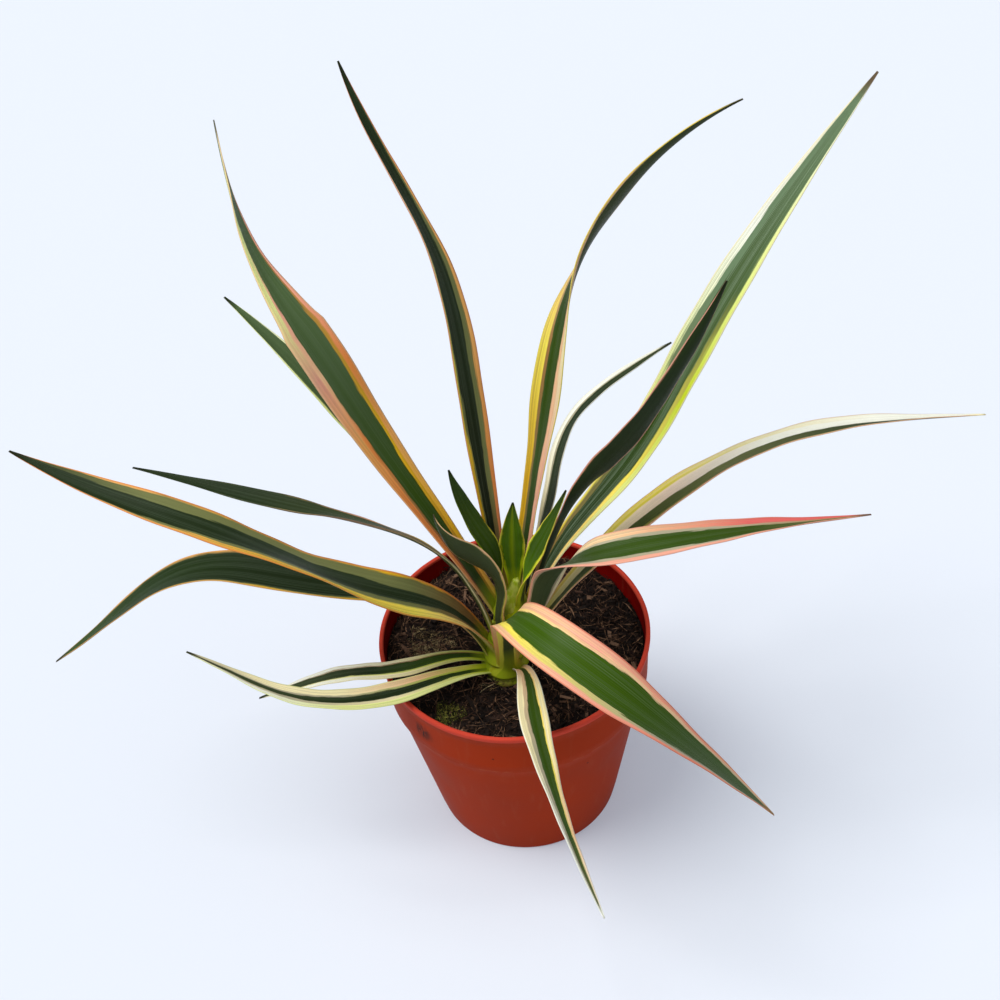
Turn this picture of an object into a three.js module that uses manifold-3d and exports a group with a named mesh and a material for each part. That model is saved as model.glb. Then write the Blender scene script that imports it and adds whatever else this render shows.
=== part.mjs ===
// A young variegated yucca in a round plastic nursery pot.
// Millimetres, +Z up, the origin in the middle of the pot's flat base, the plant's front at -Y.
// Each leaf, the stem, the soil and the pot is a closed solid of its own.
import * as THREE from "three";
import { mergeVertices } from "three/addons/utils/BufferGeometryUtils.js";
import Module from "manifold-3d";

const wasm = await Module();
wasm.setup();

const RADIANS = Math.PI / 180;
const FULL_TURN = 2 * Math.PI;
const CLEARANCE = 0.4; // between two pieces that rest on each other
const LEAF_GAP = 0.9; // between the stem and the middle of a leaf's foot, whose edges come closer

// The pot: a tapered thin wall, a wider collar with a rounded lip, and drain holes in the base.
const POT = {
  height: 115,
  rimRadius: 65,
  baseRadius: 46.5,
  wall: 1.5,
  floor: 2,
  collarDepth: 27,
  collarStep: 1.5,
  collarFlare: 0.8,
  lipHeight: 3,
  lipReach: 0.7,
  lipRound: 0.6,
  footRound: 1.2,
  sides: 56,
};
const DRAIN = { count: 8, radius: 4, ringRadius: 33, sides: 12 };

// The soil: what fills the pot, with an uneven top below the lip.
const SOIL = { drop: 12, bump: 1.1, rings: 5, sides: 56 };

// The stem: a short leaning column that tapers to the growing tip, above and below the soil.
const STEM = {
  foot: new THREE.Vector2(-6, -13),
  leanX: 0.16,
  leanY: 0.05,
  footRadius: 10,
  taper: 0.08,
  depth: 24,
  shoulder: 45,
  tip: 58,
  tipRadius: 1.4,
  sides: 20,
};

// How every blade is cut: its thickness, its channel and the number of steps along it.
const BLADE = {
  midThickness: 1.3,
  baseThickness: 1.7,
  edgeThickness: 0.65,
  footWidth: 0.46,
  tipWidth: 1.2,
  taperPower: 1.4,
  footChannel: 0.34,
  middleChannel: 0.12,
  steps: 60,
  stations: 20,
  quarters: 4,
};

// Each leaf starts on the stem at a height above the soil ("up") and a turn around the stem.
// heading (from +X towards +Y), rise (above level) and roll (about the leaf) are in degrees,
// at five even places from its foot to its tip. belly is where the blade is broadest, wave is
// how far its edges ripple, and waves is how many ripples they have. taper, where a leaf has
// one, stands in for the common taperPower: the lower it is, the sooner the blade narrows.
const LEAVES = [
  {
    name: "leaf_far_left",
    turn: -165,
    up: 20,
    length: 254,
    width: 24,
    heading: [-164, -153, -183, -200, -212],
    rise: [71, 44, 38, 14, 10],
    roll: [0, -30, 27, -15, 0],
    belly: 0.42,
    wave: 1.2,
    waves: 2.5,
  },
  {
    name: "leaf_left_drooping",
    turn: 170,
    up: 13,
    length: 254,
    width: 21,
    heading: [168, 182, 162, 184, 165],
    rise: [73, 24, 0, -36, -41],
    roll: [0, -8, 0, 8, 0],
    belly: 0.5,
    wave: 0.6,
    waves: 2,
  },
  {
    name: "leaf_left_thin",
    turn: 186,
    up: 29,
    length: 203,
    width: 9.5,
    heading: [184, 190, 167, 164, 156],
    rise: [80, 63, 15, 11, 2],
    roll: [0, 22, 30, -8, 10],
    belly: 0.6,
    wave: 0.5,
    waves: 2,
  },
  {
    name: "leaf_upper_left",
    turn: 148,
    up: 36,
    length: 277,
    width: 22,
    heading: [153, 146, 146, 109, 98],
    rise: [64, 56, 60, 17, 28],
    roll: [0, -8, -15, 48, 100],
    belly: 0.58,
    wave: 0.7,
    waves: 2,
    taper: 0.6,
  },
  {
    name: "leaf_upper_left_behind",
    turn: 122,
    up: 30,
    length: 197,
    width: 13,
    heading: [133, 145, 138, 138, 135],
    rise: [55, 50, 43, 30, 20],
    roll: [0, 5, 8, 0, 0],
    belly: 0.6,
    wave: 0.5,
    waves: 2,
  },
  {
    name: "leaf_back_left",
    turn: 112,
    up: 41,
    length: 254,
    width: 14,
    heading: [112, 103, 103, 132, 114],
    rise: [77, 77, 69, 54, 47],
    roll: [0, 0, 28, 28, -10],
    belly: 0.55,
    wave: 0.6,
    waves: 2,
  },
  {
    name: "leaf_back_right",
    turn: 66,
    up: 37,
    length: 263,
    width: 16,
    heading: [62, 30, 46, 30, 0],
    rise: [69, 78, 70, 39, 23],
    roll: [0, 0, -12, -75, -60],
    belly: 0.45,
    wave: 0.6,
    waves: 2,
  },
  {
    name: "leaf_behind_right",
    turn: 48,
    up: 20,
    length: 166,
    width: 10,
    heading: [48, 39, 68, 27, 28],
    rise: [75, 68, 40, 22, 7],
    roll: [0, -25, -40, -12, 5],
    belly: 0.6,
    wave: 0.4,
    waves: 2,
  },
  {
    name: "leaf_upper_right",
    turn: 18,
    up: 30,
    length: 289,
    width: 20,
    heading: [18, -1, 16, 27, 25],
    rise: [74, 55, 63, 48, 45],
    roll: [0, 18, 12, 5, 20],
    belly: 0.55,
    wave: 0.8,
    waves: 2.5,
  },
  {
    name: "leaf_right_turned",
    turn: -20,
    up: 40,
    length: 204,
    width: 10,
    heading: [-20, -4, -33, 3, 28],
    rise: [79, 70, 58, 60, 60],
    roll: [0, -45, -55, -85, -110],
    belly: 0.65,
    wave: 1.1,
    waves: 2.5,
  },
  {
    name: "leaf_right_long",
    turn: 8,
    up: 16,
    length: 252,
    width: 15,
    heading: [11, 12, 6, 1, 15],
    rise: [62, 41, 28, 0, -17],
    roll: [0, 0, 0, -12, -15],
    belly: 0.42,
    wave: 1.0,
    waves: 2.5,
  },
  {
    name: "leaf_right_folding",
    turn: -38,
    up: 25,
    length: 207,
    width: 17,
    heading: [-34, -50, 1, 2, 6],
    rise: [72, 68, 7, -1, -4],
    roll: [0, -45, 12, -12, -25],
    belly: 0.5,
    wave: 1.0,
    waves: 2.5,
  },
  {
    name: "leaf_lower_right",
    turn: -90,
    up: 14,
    length: 233,
    width: 25,
    heading: [-88, -78, -38, -15, -6],
    rise: [84, 52, -20, -48, -53],
    roll: [0, 20, 10, -6, -15],
    belly: 0.58,
    wave: 0.9,
    waves: 2,
  },
  {
    name: "leaf_front",
    turn: -63,
    up: 9,
    length: 149,
    width: 13,
    heading: [-72, -89, -82, -74, -65],
    rise: [52, 18, -8, -21, -38],
    roll: [0, 0, -25, -40, -40],
    belly: 0.4,
    wave: 0.4,
    waves: 2,
  },
  {
    name: "leaf_low_left_back",
    turn: 175,
    up: 8,
    length: 114,
    width: 10,
    heading: [182, 199, 174, 180, 169],
    rise: [24, 8, -4, -16, -28],
    roll: [-15, -30, 0, -8, 0],
    belly: 0.5,
    wave: 0.4,
    waves: 2,
  },
  {
    name: "leaf_low_left_front",
    turn: -152,
    up: 6,
    length: 151,
    width: 13,
    heading: [-150, -156, -182, -206, -202],
    rise: [32, 10, 5, 11, 21],
    roll: [-10, -20, 5, 15, 15],
    belly: 0.45,
    wave: 0.5,
    waves: 2,
  },
  {
    name: "heart_leaf_left",
    turn: 158,
    up: 46,
    length: 75,
    width: 11,
    heading: [168, 172, 155, 144, 122],
    rise: [90, 90, 62, 67, 66],
    roll: [0, -25, -10, -10, -30],
    belly: 0.5,
    wave: 0.3,
    waves: 1.5,
  },
  {
    name: "heart_leaf_middle",
    turn: 84,
    up: 48,
    length: 51,
    width: 12,
    heading: [82, 48, 39, 24, 10],
    rise: [87, 89, 86, 85, 83],
    roll: [0, 36, 45, 60, 70],
    belly: 0.5,
    wave: 0.3,
    waves: 1.5,
  },
  {
    name: "heart_leaf_right",
    turn: -66,
    up: 48,
    length: 77,
    width: 10,
    heading: [-66, -30, -12, -4, 14],
    rise: [83, 76, 67, 67, 68],
    roll: [0, 25, 35, 25, 10],
    belly: 0.5,
    wave: 0.3,
    waves: 1.5,
  },
  {
    name: "heart_leaf_turned",
    turn: -128,
    up: 33,
    length: 81,
    width: 13,
    heading: [-134, -182, -184, -182, -262],
    rise: [81, 99, 62, 48, 48],
    roll: [0, 20, 50, 85, 95],
    belly: 0.6,
    wave: 0.4,
    waves: 1.5,
  },
];

const MATERIALS = {
  pot: { color: 0xa5412a, roughness: 0.5, metalness: 0 },
  soil: { color: 0x33241a, roughness: 1, metalness: 0 },
  stem: { color: 0x98a03c, roughness: 0.6, metalness: 0 },
  leaf: { color: 0x3f5f3a, roughness: 0.45, metalness: 0 },
};

// A smooth curve through evenly spaced values, read at a share t of its length.
function along(values, t) {
  const last = values.length - 1;
  const place = THREE.MathUtils.clamp(t, 0, 1) * last;
  const i = Math.min(Math.floor(place), last - 1);
  const u = place - i;
  const [from, to] = [values[i], values[i + 1]];
  const before = i > 0 ? values[i - 1] : 2 * from - to;
  const after = i + 2 <= last ? values[i + 2] : 2 * to - from;
  const leaving = (to - before) / 2;
  const arriving = (after - from) / 2;
  return (
    from +
    u * leaving +
    u * u * (3 * (to - from) - 2 * leaving - arriving) +
    u * u * u * (2 * (from - to) + leaving + arriving)
  );
}

// A geometry with shared vertices from a list of points and a list of corner numbers.
function bodyOf(points, corners) {
  const body = new THREE.BufferGeometry().setFromPoints(points);
  body.setIndex(corners);
  return mergeVertices(body, 1e-4);
}

// A closed body through rings of points, each closed by a fan at its first and last ring.
function ringBody(rings) {
  const count = rings[0].length;
  const middle = (ring) =>
    ring.reduce((sum, p) => sum.add(p), new THREE.Vector3()).divideScalar(count);
  const points = [...rings.flat(), middle(rings[0]), middle(rings.at(-1))];
  const bottom = rings.length * count;
  const top = bottom + 1;
  const lastRing = bottom - count;
  const corners = [];
  for (let k = 0; k < count; k++) {
    const next = (k + 1) % count;
    for (let row = 0; row < lastRing; row += count) {
      corners.push(row + k, row + next, row + count + next);
      corners.push(row + k, row + count + next, row + count + k);
    }
    corners.push(bottom, next, k);
    corners.push(top, lastRing + k, lastRing + next);
  }
  return bodyOf(points, corners);
}

// The points of a level ring around (x, y), at heights given by a number or by a function.
function ring(x, y, radius, height, sides) {
  return Array.from({ length: sides }, (_, k) => {
    const turn = (k / sides) * FULL_TURN;
    const px = x + radius * Math.cos(turn);
    const py = y + radius * Math.sin(turn);
    return new THREE.Vector3(px, py, typeof height === "number" ? height : height(px, py));
  });
}

// A solid of the boolean library from a closed geometry, and a geometry back from such a solid.
function solidOf(geometry) {
  const bare = geometry.clone().deleteAttribute("normal").deleteAttribute("uv");
  const merged = mergeVertices(bare, 1e-4);
  return new wasm.Manifold(
    new wasm.Mesh({
      numProp: 3,
      vertProperties: new Float32Array(merged.attributes.position.array),
      triVerts: new Uint32Array(merged.index.array),
    }),
  );
}

function geometryOf(solid) {
  const mesh = solid.getMesh();
  const geometry = new THREE.BufferGeometry();
  geometry.setAttribute("position", new THREE.BufferAttribute(mesh.vertProperties, 3));
  geometry.setIndex(new THREE.BufferAttribute(mesh.triVerts, 1));
  return geometry;
}

// The pot's outer radius at a height: the tapered wall, then the collar.
function potOutside(z) {
  const collarFoot = POT.height - POT.collarDepth;
  const collarTop = POT.rimRadius - POT.lipReach;
  const collarLow = collarTop - POT.collarFlare;
  if (z >= collarFoot) return collarLow + (POT.collarFlare * (z - collarFoot)) / POT.collarDepth;
  const wallTop = collarLow - POT.collarStep;
  return POT.baseRadius + ((wallTop - POT.baseRadius) * z) / collarFoot;
}

// The turned wall, from the middle of the floor outside, over the lip and back to the middle.
function potWall() {
  const collarFoot = POT.height - POT.collarDepth;
  const lipFoot = POT.height - POT.lipHeight;
  const underCollar = collarFoot - POT.wall;
  const lipInside = POT.rimRadius - POT.lipReach - POT.wall;
  const profile = [
    [0, 0],
    [POT.baseRadius - POT.footRound, 0],
    [potOutside(POT.footRound), POT.footRound],
    [potOutside(collarFoot - 0.01), collarFoot],
    [potOutside(collarFoot), collarFoot],
    [potOutside(lipFoot), lipFoot],
    [POT.rimRadius, lipFoot + POT.lipRound],
    [POT.rimRadius, POT.height - POT.lipRound],
    [POT.rimRadius - POT.lipRound, POT.height],
    [lipInside + POT.lipRound, POT.height],
    [lipInside, POT.height - POT.lipRound],
    [potOutside(collarFoot) - POT.wall, collarFoot],
    [potOutside(underCollar) - POT.wall, underCollar],
    [potOutside(POT.floor) - POT.wall, POT.floor],
    [0, POT.floor],
  ].map(([radius, height]) => new THREE.Vector2(radius, height));
  return new THREE.LatheGeometry(profile, POT.sides).rotateX(Math.PI / 2);
}

// The pot, with its ring of drain holes cut through the floor.
function pot() {
  let solid = solidOf(potWall());
  for (let k = 0; k < DRAIN.count; k++) {
    const turn = ((k + 0.5) / DRAIN.count) * FULL_TURN;
    const drill = new THREE.CylinderGeometry(DRAIN.radius, DRAIN.radius, 3 * POT.floor, DRAIN.sides);
    drill.rotateX(Math.PI / 2);
    drill.translate(DRAIN.ringRadius * Math.cos(turn), DRAIN.ringRadius * Math.sin(turn), 0);
    solid = solid.subtract(solidOf(drill));
  }
  return geometryOf(solid);
}

const SOIL_TOP = POT.height - SOIL.drop;

// The height of the soil's uneven top.
function soilHeight(x, y) {
  const swell = Math.sin(x / 11 + 1) * Math.cos(y / 13 - 0.6);
  const ripple = Math.sin(x / 5 - y / 7 + 2);
  return SOIL_TOP + SOIL.bump * (0.7 * swell + 0.3 * ripple);
}

// A cut for the stem's hole: the stem itself, grown by the clearance and run on above the soil.
function stemHole() {
  const [deep, high] = [-STEM.depth - CLEARANCE, 10];
  const rings = [deep, high].map((up) => stemRing(up, stemRadius(up) + CLEARANCE));
  return ringBody(rings);
}

// The soil, which follows the inside of the pot and closes around the stem.
function soil() {
  const inside = (z) => potOutside(z) - POT.wall - CLEARANCE;
  const collarFoot = POT.height - POT.collarDepth;
  const floor = POT.floor + CLEARANCE;
  const ledge = collarFoot - POT.wall;
  const sideHeights = [floor, ledge, collarFoot + CLEARANCE];
  const rings = sideHeights.map((z) => ring(0, 0, inside(z), z, SOIL.sides));
  for (let k = SOIL.rings; k > 0; k--) {
    const radius = (inside(SOIL_TOP - SOIL.bump) * k) / SOIL.rings;
    rings.push(ring(0, 0, radius, soilHeight, SOIL.sides));
  }
  return geometryOf(solidOf(ringBody(rings)).subtract(solidOf(stemHole())));
}

// The middle of the stem at a height above the soil, and its radius there.
function stemMiddle(up) {
  return new THREE.Vector3(
    STEM.foot.x + STEM.leanX * up,
    STEM.foot.y + STEM.leanY * up,
    SOIL_TOP + up,
  );
}

function stemRadius(up) {
  return STEM.footRadius - STEM.taper * up;
}

function stemRing(up, radius) {
  const middle = stemMiddle(up);
  return ring(middle.x, middle.y, radius, middle.z, STEM.sides);
}

// The stem, from its end in the soil to its shoulder, and then in to the growing tip.
function stem() {
  const rings = [-STEM.depth, 0, STEM.shoulder].map((up) => stemRing(up, stemRadius(up)));
  rings.push(stemRing(STEM.tip, STEM.tipRadius));
  return ringBody(rings);
}

// The width of a blade at a share t of its length, as a share of its full width.
function widthShare(leaf, t) {
  if (t < leaf.belly) {
    const grown = Math.sin((t / leaf.belly) * (Math.PI / 2)) ** 2;
    return BLADE.footWidth + (1 - BLADE.footWidth) * grown;
  }
  const tipShare = BLADE.tipWidth / leaf.width;
  const gone = ((t - leaf.belly) / (1 - leaf.belly)) ** (leaf.taper ?? BLADE.taperPower);
  return 1 - (1 - tipShare) * gone;
}

// The directions of a blade at a share t: ahead along it, across it, and out of its upper face.
function bladeFrame(leaf, t) {
  const heading = along(leaf.heading, t) * RADIANS;
  const rise = along(leaf.rise, t) * RADIANS;
  const roll = along(leaf.roll, t) * RADIANS;
  const [c, s] = [Math.cos(heading), Math.sin(heading)];
  const ahead = new THREE.Vector3(Math.cos(rise) * c, Math.cos(rise) * s, Math.sin(rise));
  const out = new THREE.Vector3(-Math.sin(rise) * c, -Math.sin(rise) * s, Math.cos(rise));
  const across = new THREE.Vector3(s, -c, 0);
  out.applyAxisAngle(ahead, roll);
  across.applyAxisAngle(ahead, roll);
  return { ahead, across, out };
}

// Where the middle line of a leaf starts: on the stem's side, clear of it.
function leafFoot(leaf) {
  const reach = stemRadius(leaf.up) + LEAF_GAP;
  const turn = leaf.turn * RADIANS;
  const side = new THREE.Vector3(Math.cos(turn), Math.sin(turn), 0).multiplyScalar(reach);
  return stemMiddle(leaf.up).add(side);
}

// The upper and the under points of a blade across it at a share t, around its middle point.
function bladeSection(leaf, t, middle) {
  const { across, out } = bladeFrame(leaf, t);
  const half = (leaf.width * widthShare(leaf, t)) / 2;
  const channel = along([BLADE.footChannel, BLADE.middleChannel, BLADE.footChannel], t);
  const thick = along([BLADE.baseThickness, BLADE.midThickness, BLADE.edgeThickness], t);
  const ripple = leaf.wave * Math.sin(Math.PI * t);
  const upper = [];
  const under = [];
  for (let k = 0; k <= BLADE.quarters; k++) {
    const share = (2 * k) / BLADE.quarters - 1;
    const phase = share > 0 ? 0 : FULL_TURN / 3;
    const wave = ripple * Math.sin(FULL_TURN * leaf.waves * t + phase);
    const lift = share * share * (channel * half + wave);
    const depth = thick + (BLADE.edgeThickness - thick) * share * share;
    const point = middle.clone().addScaledVector(across, share * half).addScaledVector(out, lift);
    upper.push(point);
    under.push(point.clone().addScaledVector(out, -depth));
  }
  return { upper, under };
}

// The sections of a leaf, each placed by walking along its middle line in small steps.
function leafSections(leaf) {
  const step = leaf.length / BLADE.steps;
  const every = BLADE.steps / BLADE.stations;
  const middle = leafFoot(leaf);
  const sections = [bladeSection(leaf, 0, middle)];
  for (let k = 1; k <= BLADE.steps; k++) {
    middle.addScaledVector(bladeFrame(leaf, (k - 0.5) / BLADE.steps).ahead, step);
    if (k % every === 0) sections.push(bladeSection(leaf, k / BLADE.steps, middle));
  }
  return sections;
}

// A leaf: its upper and under face with the same triangles, joined at both edges and both ends.
function leafBody(leaf) {
  const sections = leafSections(leaf);
  const row = BLADE.quarters + 1;
  const points = [
    ...sections.flatMap((section) => section.upper),
    ...sections.flatMap((section) => section.under),
  ];
  const beneath = sections.length * row;
  const corners = [];
  const quad = (a, b, c, d) => corners.push(a, b, c, a, c, d);
  for (let i = 0; i + 1 < sections.length; i++) {
    const [here, ahead] = [i * row, (i + 1) * row];
    for (let k = 0; k < BLADE.quarters; k++) {
      const [a, b, c, d] = [here + k, here + k + 1, ahead + k + 1, ahead + k];
      quad(a, b, c, d);
      corners.push(a + beneath, c + beneath, b + beneath, a + beneath, d + beneath, c + beneath);
    }
    const [nearEnd, farEnd] = [here + row - 1, ahead + row - 1];
    quad(here, ahead, ahead + beneath, here + beneath);
    quad(nearEnd, nearEnd + beneath, farEnd + beneath, farEnd);
  }
  const tip = beneath - row;
  for (let k = 0; k < BLADE.quarters; k++) {
    quad(k, k + beneath, k + 1 + beneath, k + 1);
    quad(tip + k, tip + k + 1, tip + k + 1 + beneath, tip + k + beneath);
  }
  return bodyOf(points, corners);
}

function named(name, geometry, material) {
  const mesh = new THREE.Mesh(geometry, new THREE.MeshStandardMaterial(material));
  mesh.name = name;
  return mesh;
}

const plant = new THREE.Group();
plant.name = "potted_yucca";
plant.add(named("pot", pot(), MATERIALS.pot));
plant.add(named("soil", soil(), MATERIALS.soil));
plant.add(named("stem", stem(), MATERIALS.stem));
for (const leaf of LEAVES) plant.add(named(leaf.name, leafBody(leaf), MATERIALS.leaf));

export default plant;
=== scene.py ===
"""A young variegated yucca in a plastic nursery pot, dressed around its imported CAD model.

Sizes are in millimetres in the classes and become metres where a mesh is made. The origin is
the middle of the pot's base, +Z is up and the plant's front is at -Y.
"""

import logging
import math
from collections.abc import Callable, Sequence
from dataclasses import dataclass, field
from enum import Enum

import bmesh
import bpy
from mathutils import Matrix, Vector, noise

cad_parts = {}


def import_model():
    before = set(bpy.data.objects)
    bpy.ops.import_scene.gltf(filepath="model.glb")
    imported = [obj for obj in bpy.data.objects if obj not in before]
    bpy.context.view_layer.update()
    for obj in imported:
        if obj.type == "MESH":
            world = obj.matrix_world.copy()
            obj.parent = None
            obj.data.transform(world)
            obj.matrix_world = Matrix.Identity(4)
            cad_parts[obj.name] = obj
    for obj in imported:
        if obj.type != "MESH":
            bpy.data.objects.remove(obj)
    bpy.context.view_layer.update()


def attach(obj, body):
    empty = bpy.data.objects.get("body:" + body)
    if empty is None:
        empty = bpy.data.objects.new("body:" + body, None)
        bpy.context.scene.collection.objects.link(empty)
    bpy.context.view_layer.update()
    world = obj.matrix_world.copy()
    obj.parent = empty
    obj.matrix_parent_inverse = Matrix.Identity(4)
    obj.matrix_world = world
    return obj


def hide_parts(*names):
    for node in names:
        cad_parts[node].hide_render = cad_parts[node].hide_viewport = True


MM = 0.001
BODY = "root"
LOG = logging.getLogger("yucca")

POT_HEIGHT = 115.0
SOIL_DROP = 12.0
SOIL_TOP = POT_HEIGHT - SOIL_DROP

Pair = tuple[float, float]
Triple = tuple[float, float, float]
Five = tuple[float, float, float, float, float]
Rgb = tuple[int, int, int]
Rgba = tuple[float, float, float, float]
Face = list[int]
Socket = bpy.types.NodeSocket
Value = Socket | float | Sequence[float]

# The range that a noise texture's values mostly keep to.
NOISE: Pair = (0.3, 0.7)
FADE_IN: Pair = (0.0, 1.0)
FADE_OUT: Pair = (1.0, 0.0)


class Slot(Enum):
    """Material slots, one for each kind of piece."""

    POT = "pot"
    SOIL = "soil"
    STEM = "stem"
    LEAF = "leaf"


class Tone(Enum):
    """Named colours of the leaves, as red, green and blue out of 255."""

    BLACK_GREEN = (26, 32, 10)
    DARK_GREEN = (34, 48, 20)
    DEEP_GREEN = (32, 54, 4)
    GREEN = (56, 82, 10)
    BRIGHT_GREEN = (62, 92, 2)
    HEART_GREEN = (92, 132, 14)
    OLIVE = (120, 124, 74)
    # Far along some blades, GREY_GREEN and PALE_GREEN stand in for painted sheen.
    GREY_GREEN = (82, 104, 62)
    PALE_GREEN = (112, 136, 100)
    SLATE_GREEN = (60, 70, 40)
    # The colour of the painted sheen lines in a blade's core.
    SHEEN = (158, 178, 148)
    LIME = (206, 222, 30)
    LIME_CREAM = (244, 250, 160)
    YELLOW = (250, 230, 90)
    GOLD = (240, 186, 36)
    APRICOT = (248, 180, 100)
    ORANGE = (238, 142, 72)
    PEACH = (250, 200, 150)
    PINK = (246, 172, 146)
    SALMON = (240, 140, 112)
    ROSE = (226, 100, 96)
    CREAM = (254, 240, 186)
    BLUSH = (255, 228, 204)
    WHITE = (255, 254, 236)
    TAN = (164, 120, 68)
    RUST = (140, 86, 52)
    GREY = (178, 170, 140)
    BROWN = (100, 76, 54)
    SHEATH = (172, 188, 30)
    EARTH = (74, 52, 28)

    @property
    def colour(self) -> Rgba:
        """The tone as a linear colour."""
        return linear(self.value)


def linear(rgb: Rgb) -> Rgba:
    """Turns a screen colour into the linear colour that a shader takes.

    Args:
        rgb: red, green and blue out of 255.

    Returns:
        The linear red, green and blue, and an alpha of 1.
    """
    values = []
    for part in rgb:
        share = part / 255
        values.append(share / 12.92 if share <= 0.04045 else ((share + 0.055) / 1.055) ** 2.4)
    return values[0], values[1], values[2], 1.0


def along(values: Sequence[float], t: float) -> float:
    """Reads a smooth curve through evenly spaced values.

    Args:
        values: the curve's values from its start to its end.
        t: the share of its length, from 0 to 1.

    Returns:
        The curve's value there.
    """
    last = len(values) - 1
    place = min(max(t, 0.0), 1.0) * last
    i = min(int(place), last - 1)
    u = place - i
    start, end = values[i], values[i + 1]
    before = values[i - 1] if i > 0 else 2 * start - end
    after = values[i + 2] if i + 2 <= last else 2 * end - start
    leaving = (end - before) / 2
    arriving = (after - start) / 2
    square = u * u * (3 * (end - start) - 2 * leaving - arriving)
    cube = u**3 * (2 * (start - end) + leaving + arriving)
    return start + u * leaving + square + cube


def smooth(share: float) -> float:
    """A share from 0 to 1 that starts and ends gently."""
    share = min(max(share, 0.0), 1.0)
    return share * share * (3 - 2 * share)


def turns(count: int) -> list[float]:
    """The evenly spaced angles of a full turn, in radians."""
    return [2 * math.pi * k / count for k in range(count)]


@dataclass(frozen=True)
class Grain:
    """A noise texture's scale, detail and roughness, and how its place is stretched and moved."""

    scale: float
    detail: float
    rough: float = 0.5
    stretch: Triple = (1.0, 1.0, 1.0)
    offset: Triple = (0.0, 0.0, 0.0)


class Tree:
    """A node tree under construction."""

    def __init__(self, tree: bpy.types.NodeTree) -> None:
        """Takes the tree that the nodes go into."""
        self.tree = tree

    def fill(self, node: bpy.types.Node, inputs: dict[str | int, object]) -> None:
        """Links or sets some inputs of a node.

        Args:
            node: the node.
            inputs: what each input takes, a socket or a plain value, by its name or number.
        """
        for key, value in inputs.items():
            if isinstance(value, Socket):
                self.tree.links.new(value, node.inputs[key])
            else:
                node.inputs[key].default_value = value

    def node(self, kind: str, inputs: dict[str | int, object], **settings: object) -> bpy.types.Node:
        """Adds a node.

        Args:
            kind: the node's type.
            inputs: what each input takes, a socket or a plain value, by its name or number.
            settings: the node's properties.

        Returns:
            The node.
        """
        node = self.tree.nodes.new(kind)
        for key, value in settings.items():
            setattr(node, key, value)
        self.fill(node, inputs)
        return node

    def math(self, operation: str, first: Value, second: Value = 0.0, clamp: bool = False) -> Socket:
        """Adds a Math node and gives its result, held from 0 to 1 where clamp is set."""
        inputs = {0: first, 1: second}
        return self.node("ShaderNodeMath", inputs, operation=operation, use_clamp=clamp).outputs[0]

    def vector_math(self, operation: str, *values: Value) -> Socket:
        """Adds a Vector Math node and gives its vector."""
        inputs = dict(enumerate(values))
        return self.node("ShaderNodeVectorMath", inputs, operation=operation).outputs[0]

    def vector(self, x: Value, y: Value, z: Value) -> Socket:
        """Joins three numbers into a vector."""
        return self.node("ShaderNodeCombineXYZ", {0: x, 1: y, 2: z}).outputs[0]

    def split(self, vector: Value) -> list[Socket]:
        """The three numbers of a vector."""
        return list(self.node("ShaderNodeSeparateXYZ", {0: vector}).outputs)

    def distance(self, first: Value, second: Value = (0.0, 0.0, 0.0)) -> Socket:
        """The distance between two places, or of one from the origin."""
        inputs = {0: first, 1: second}
        return self.node("ShaderNodeVectorMath", inputs, operation="DISTANCE").outputs["Value"]


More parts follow.
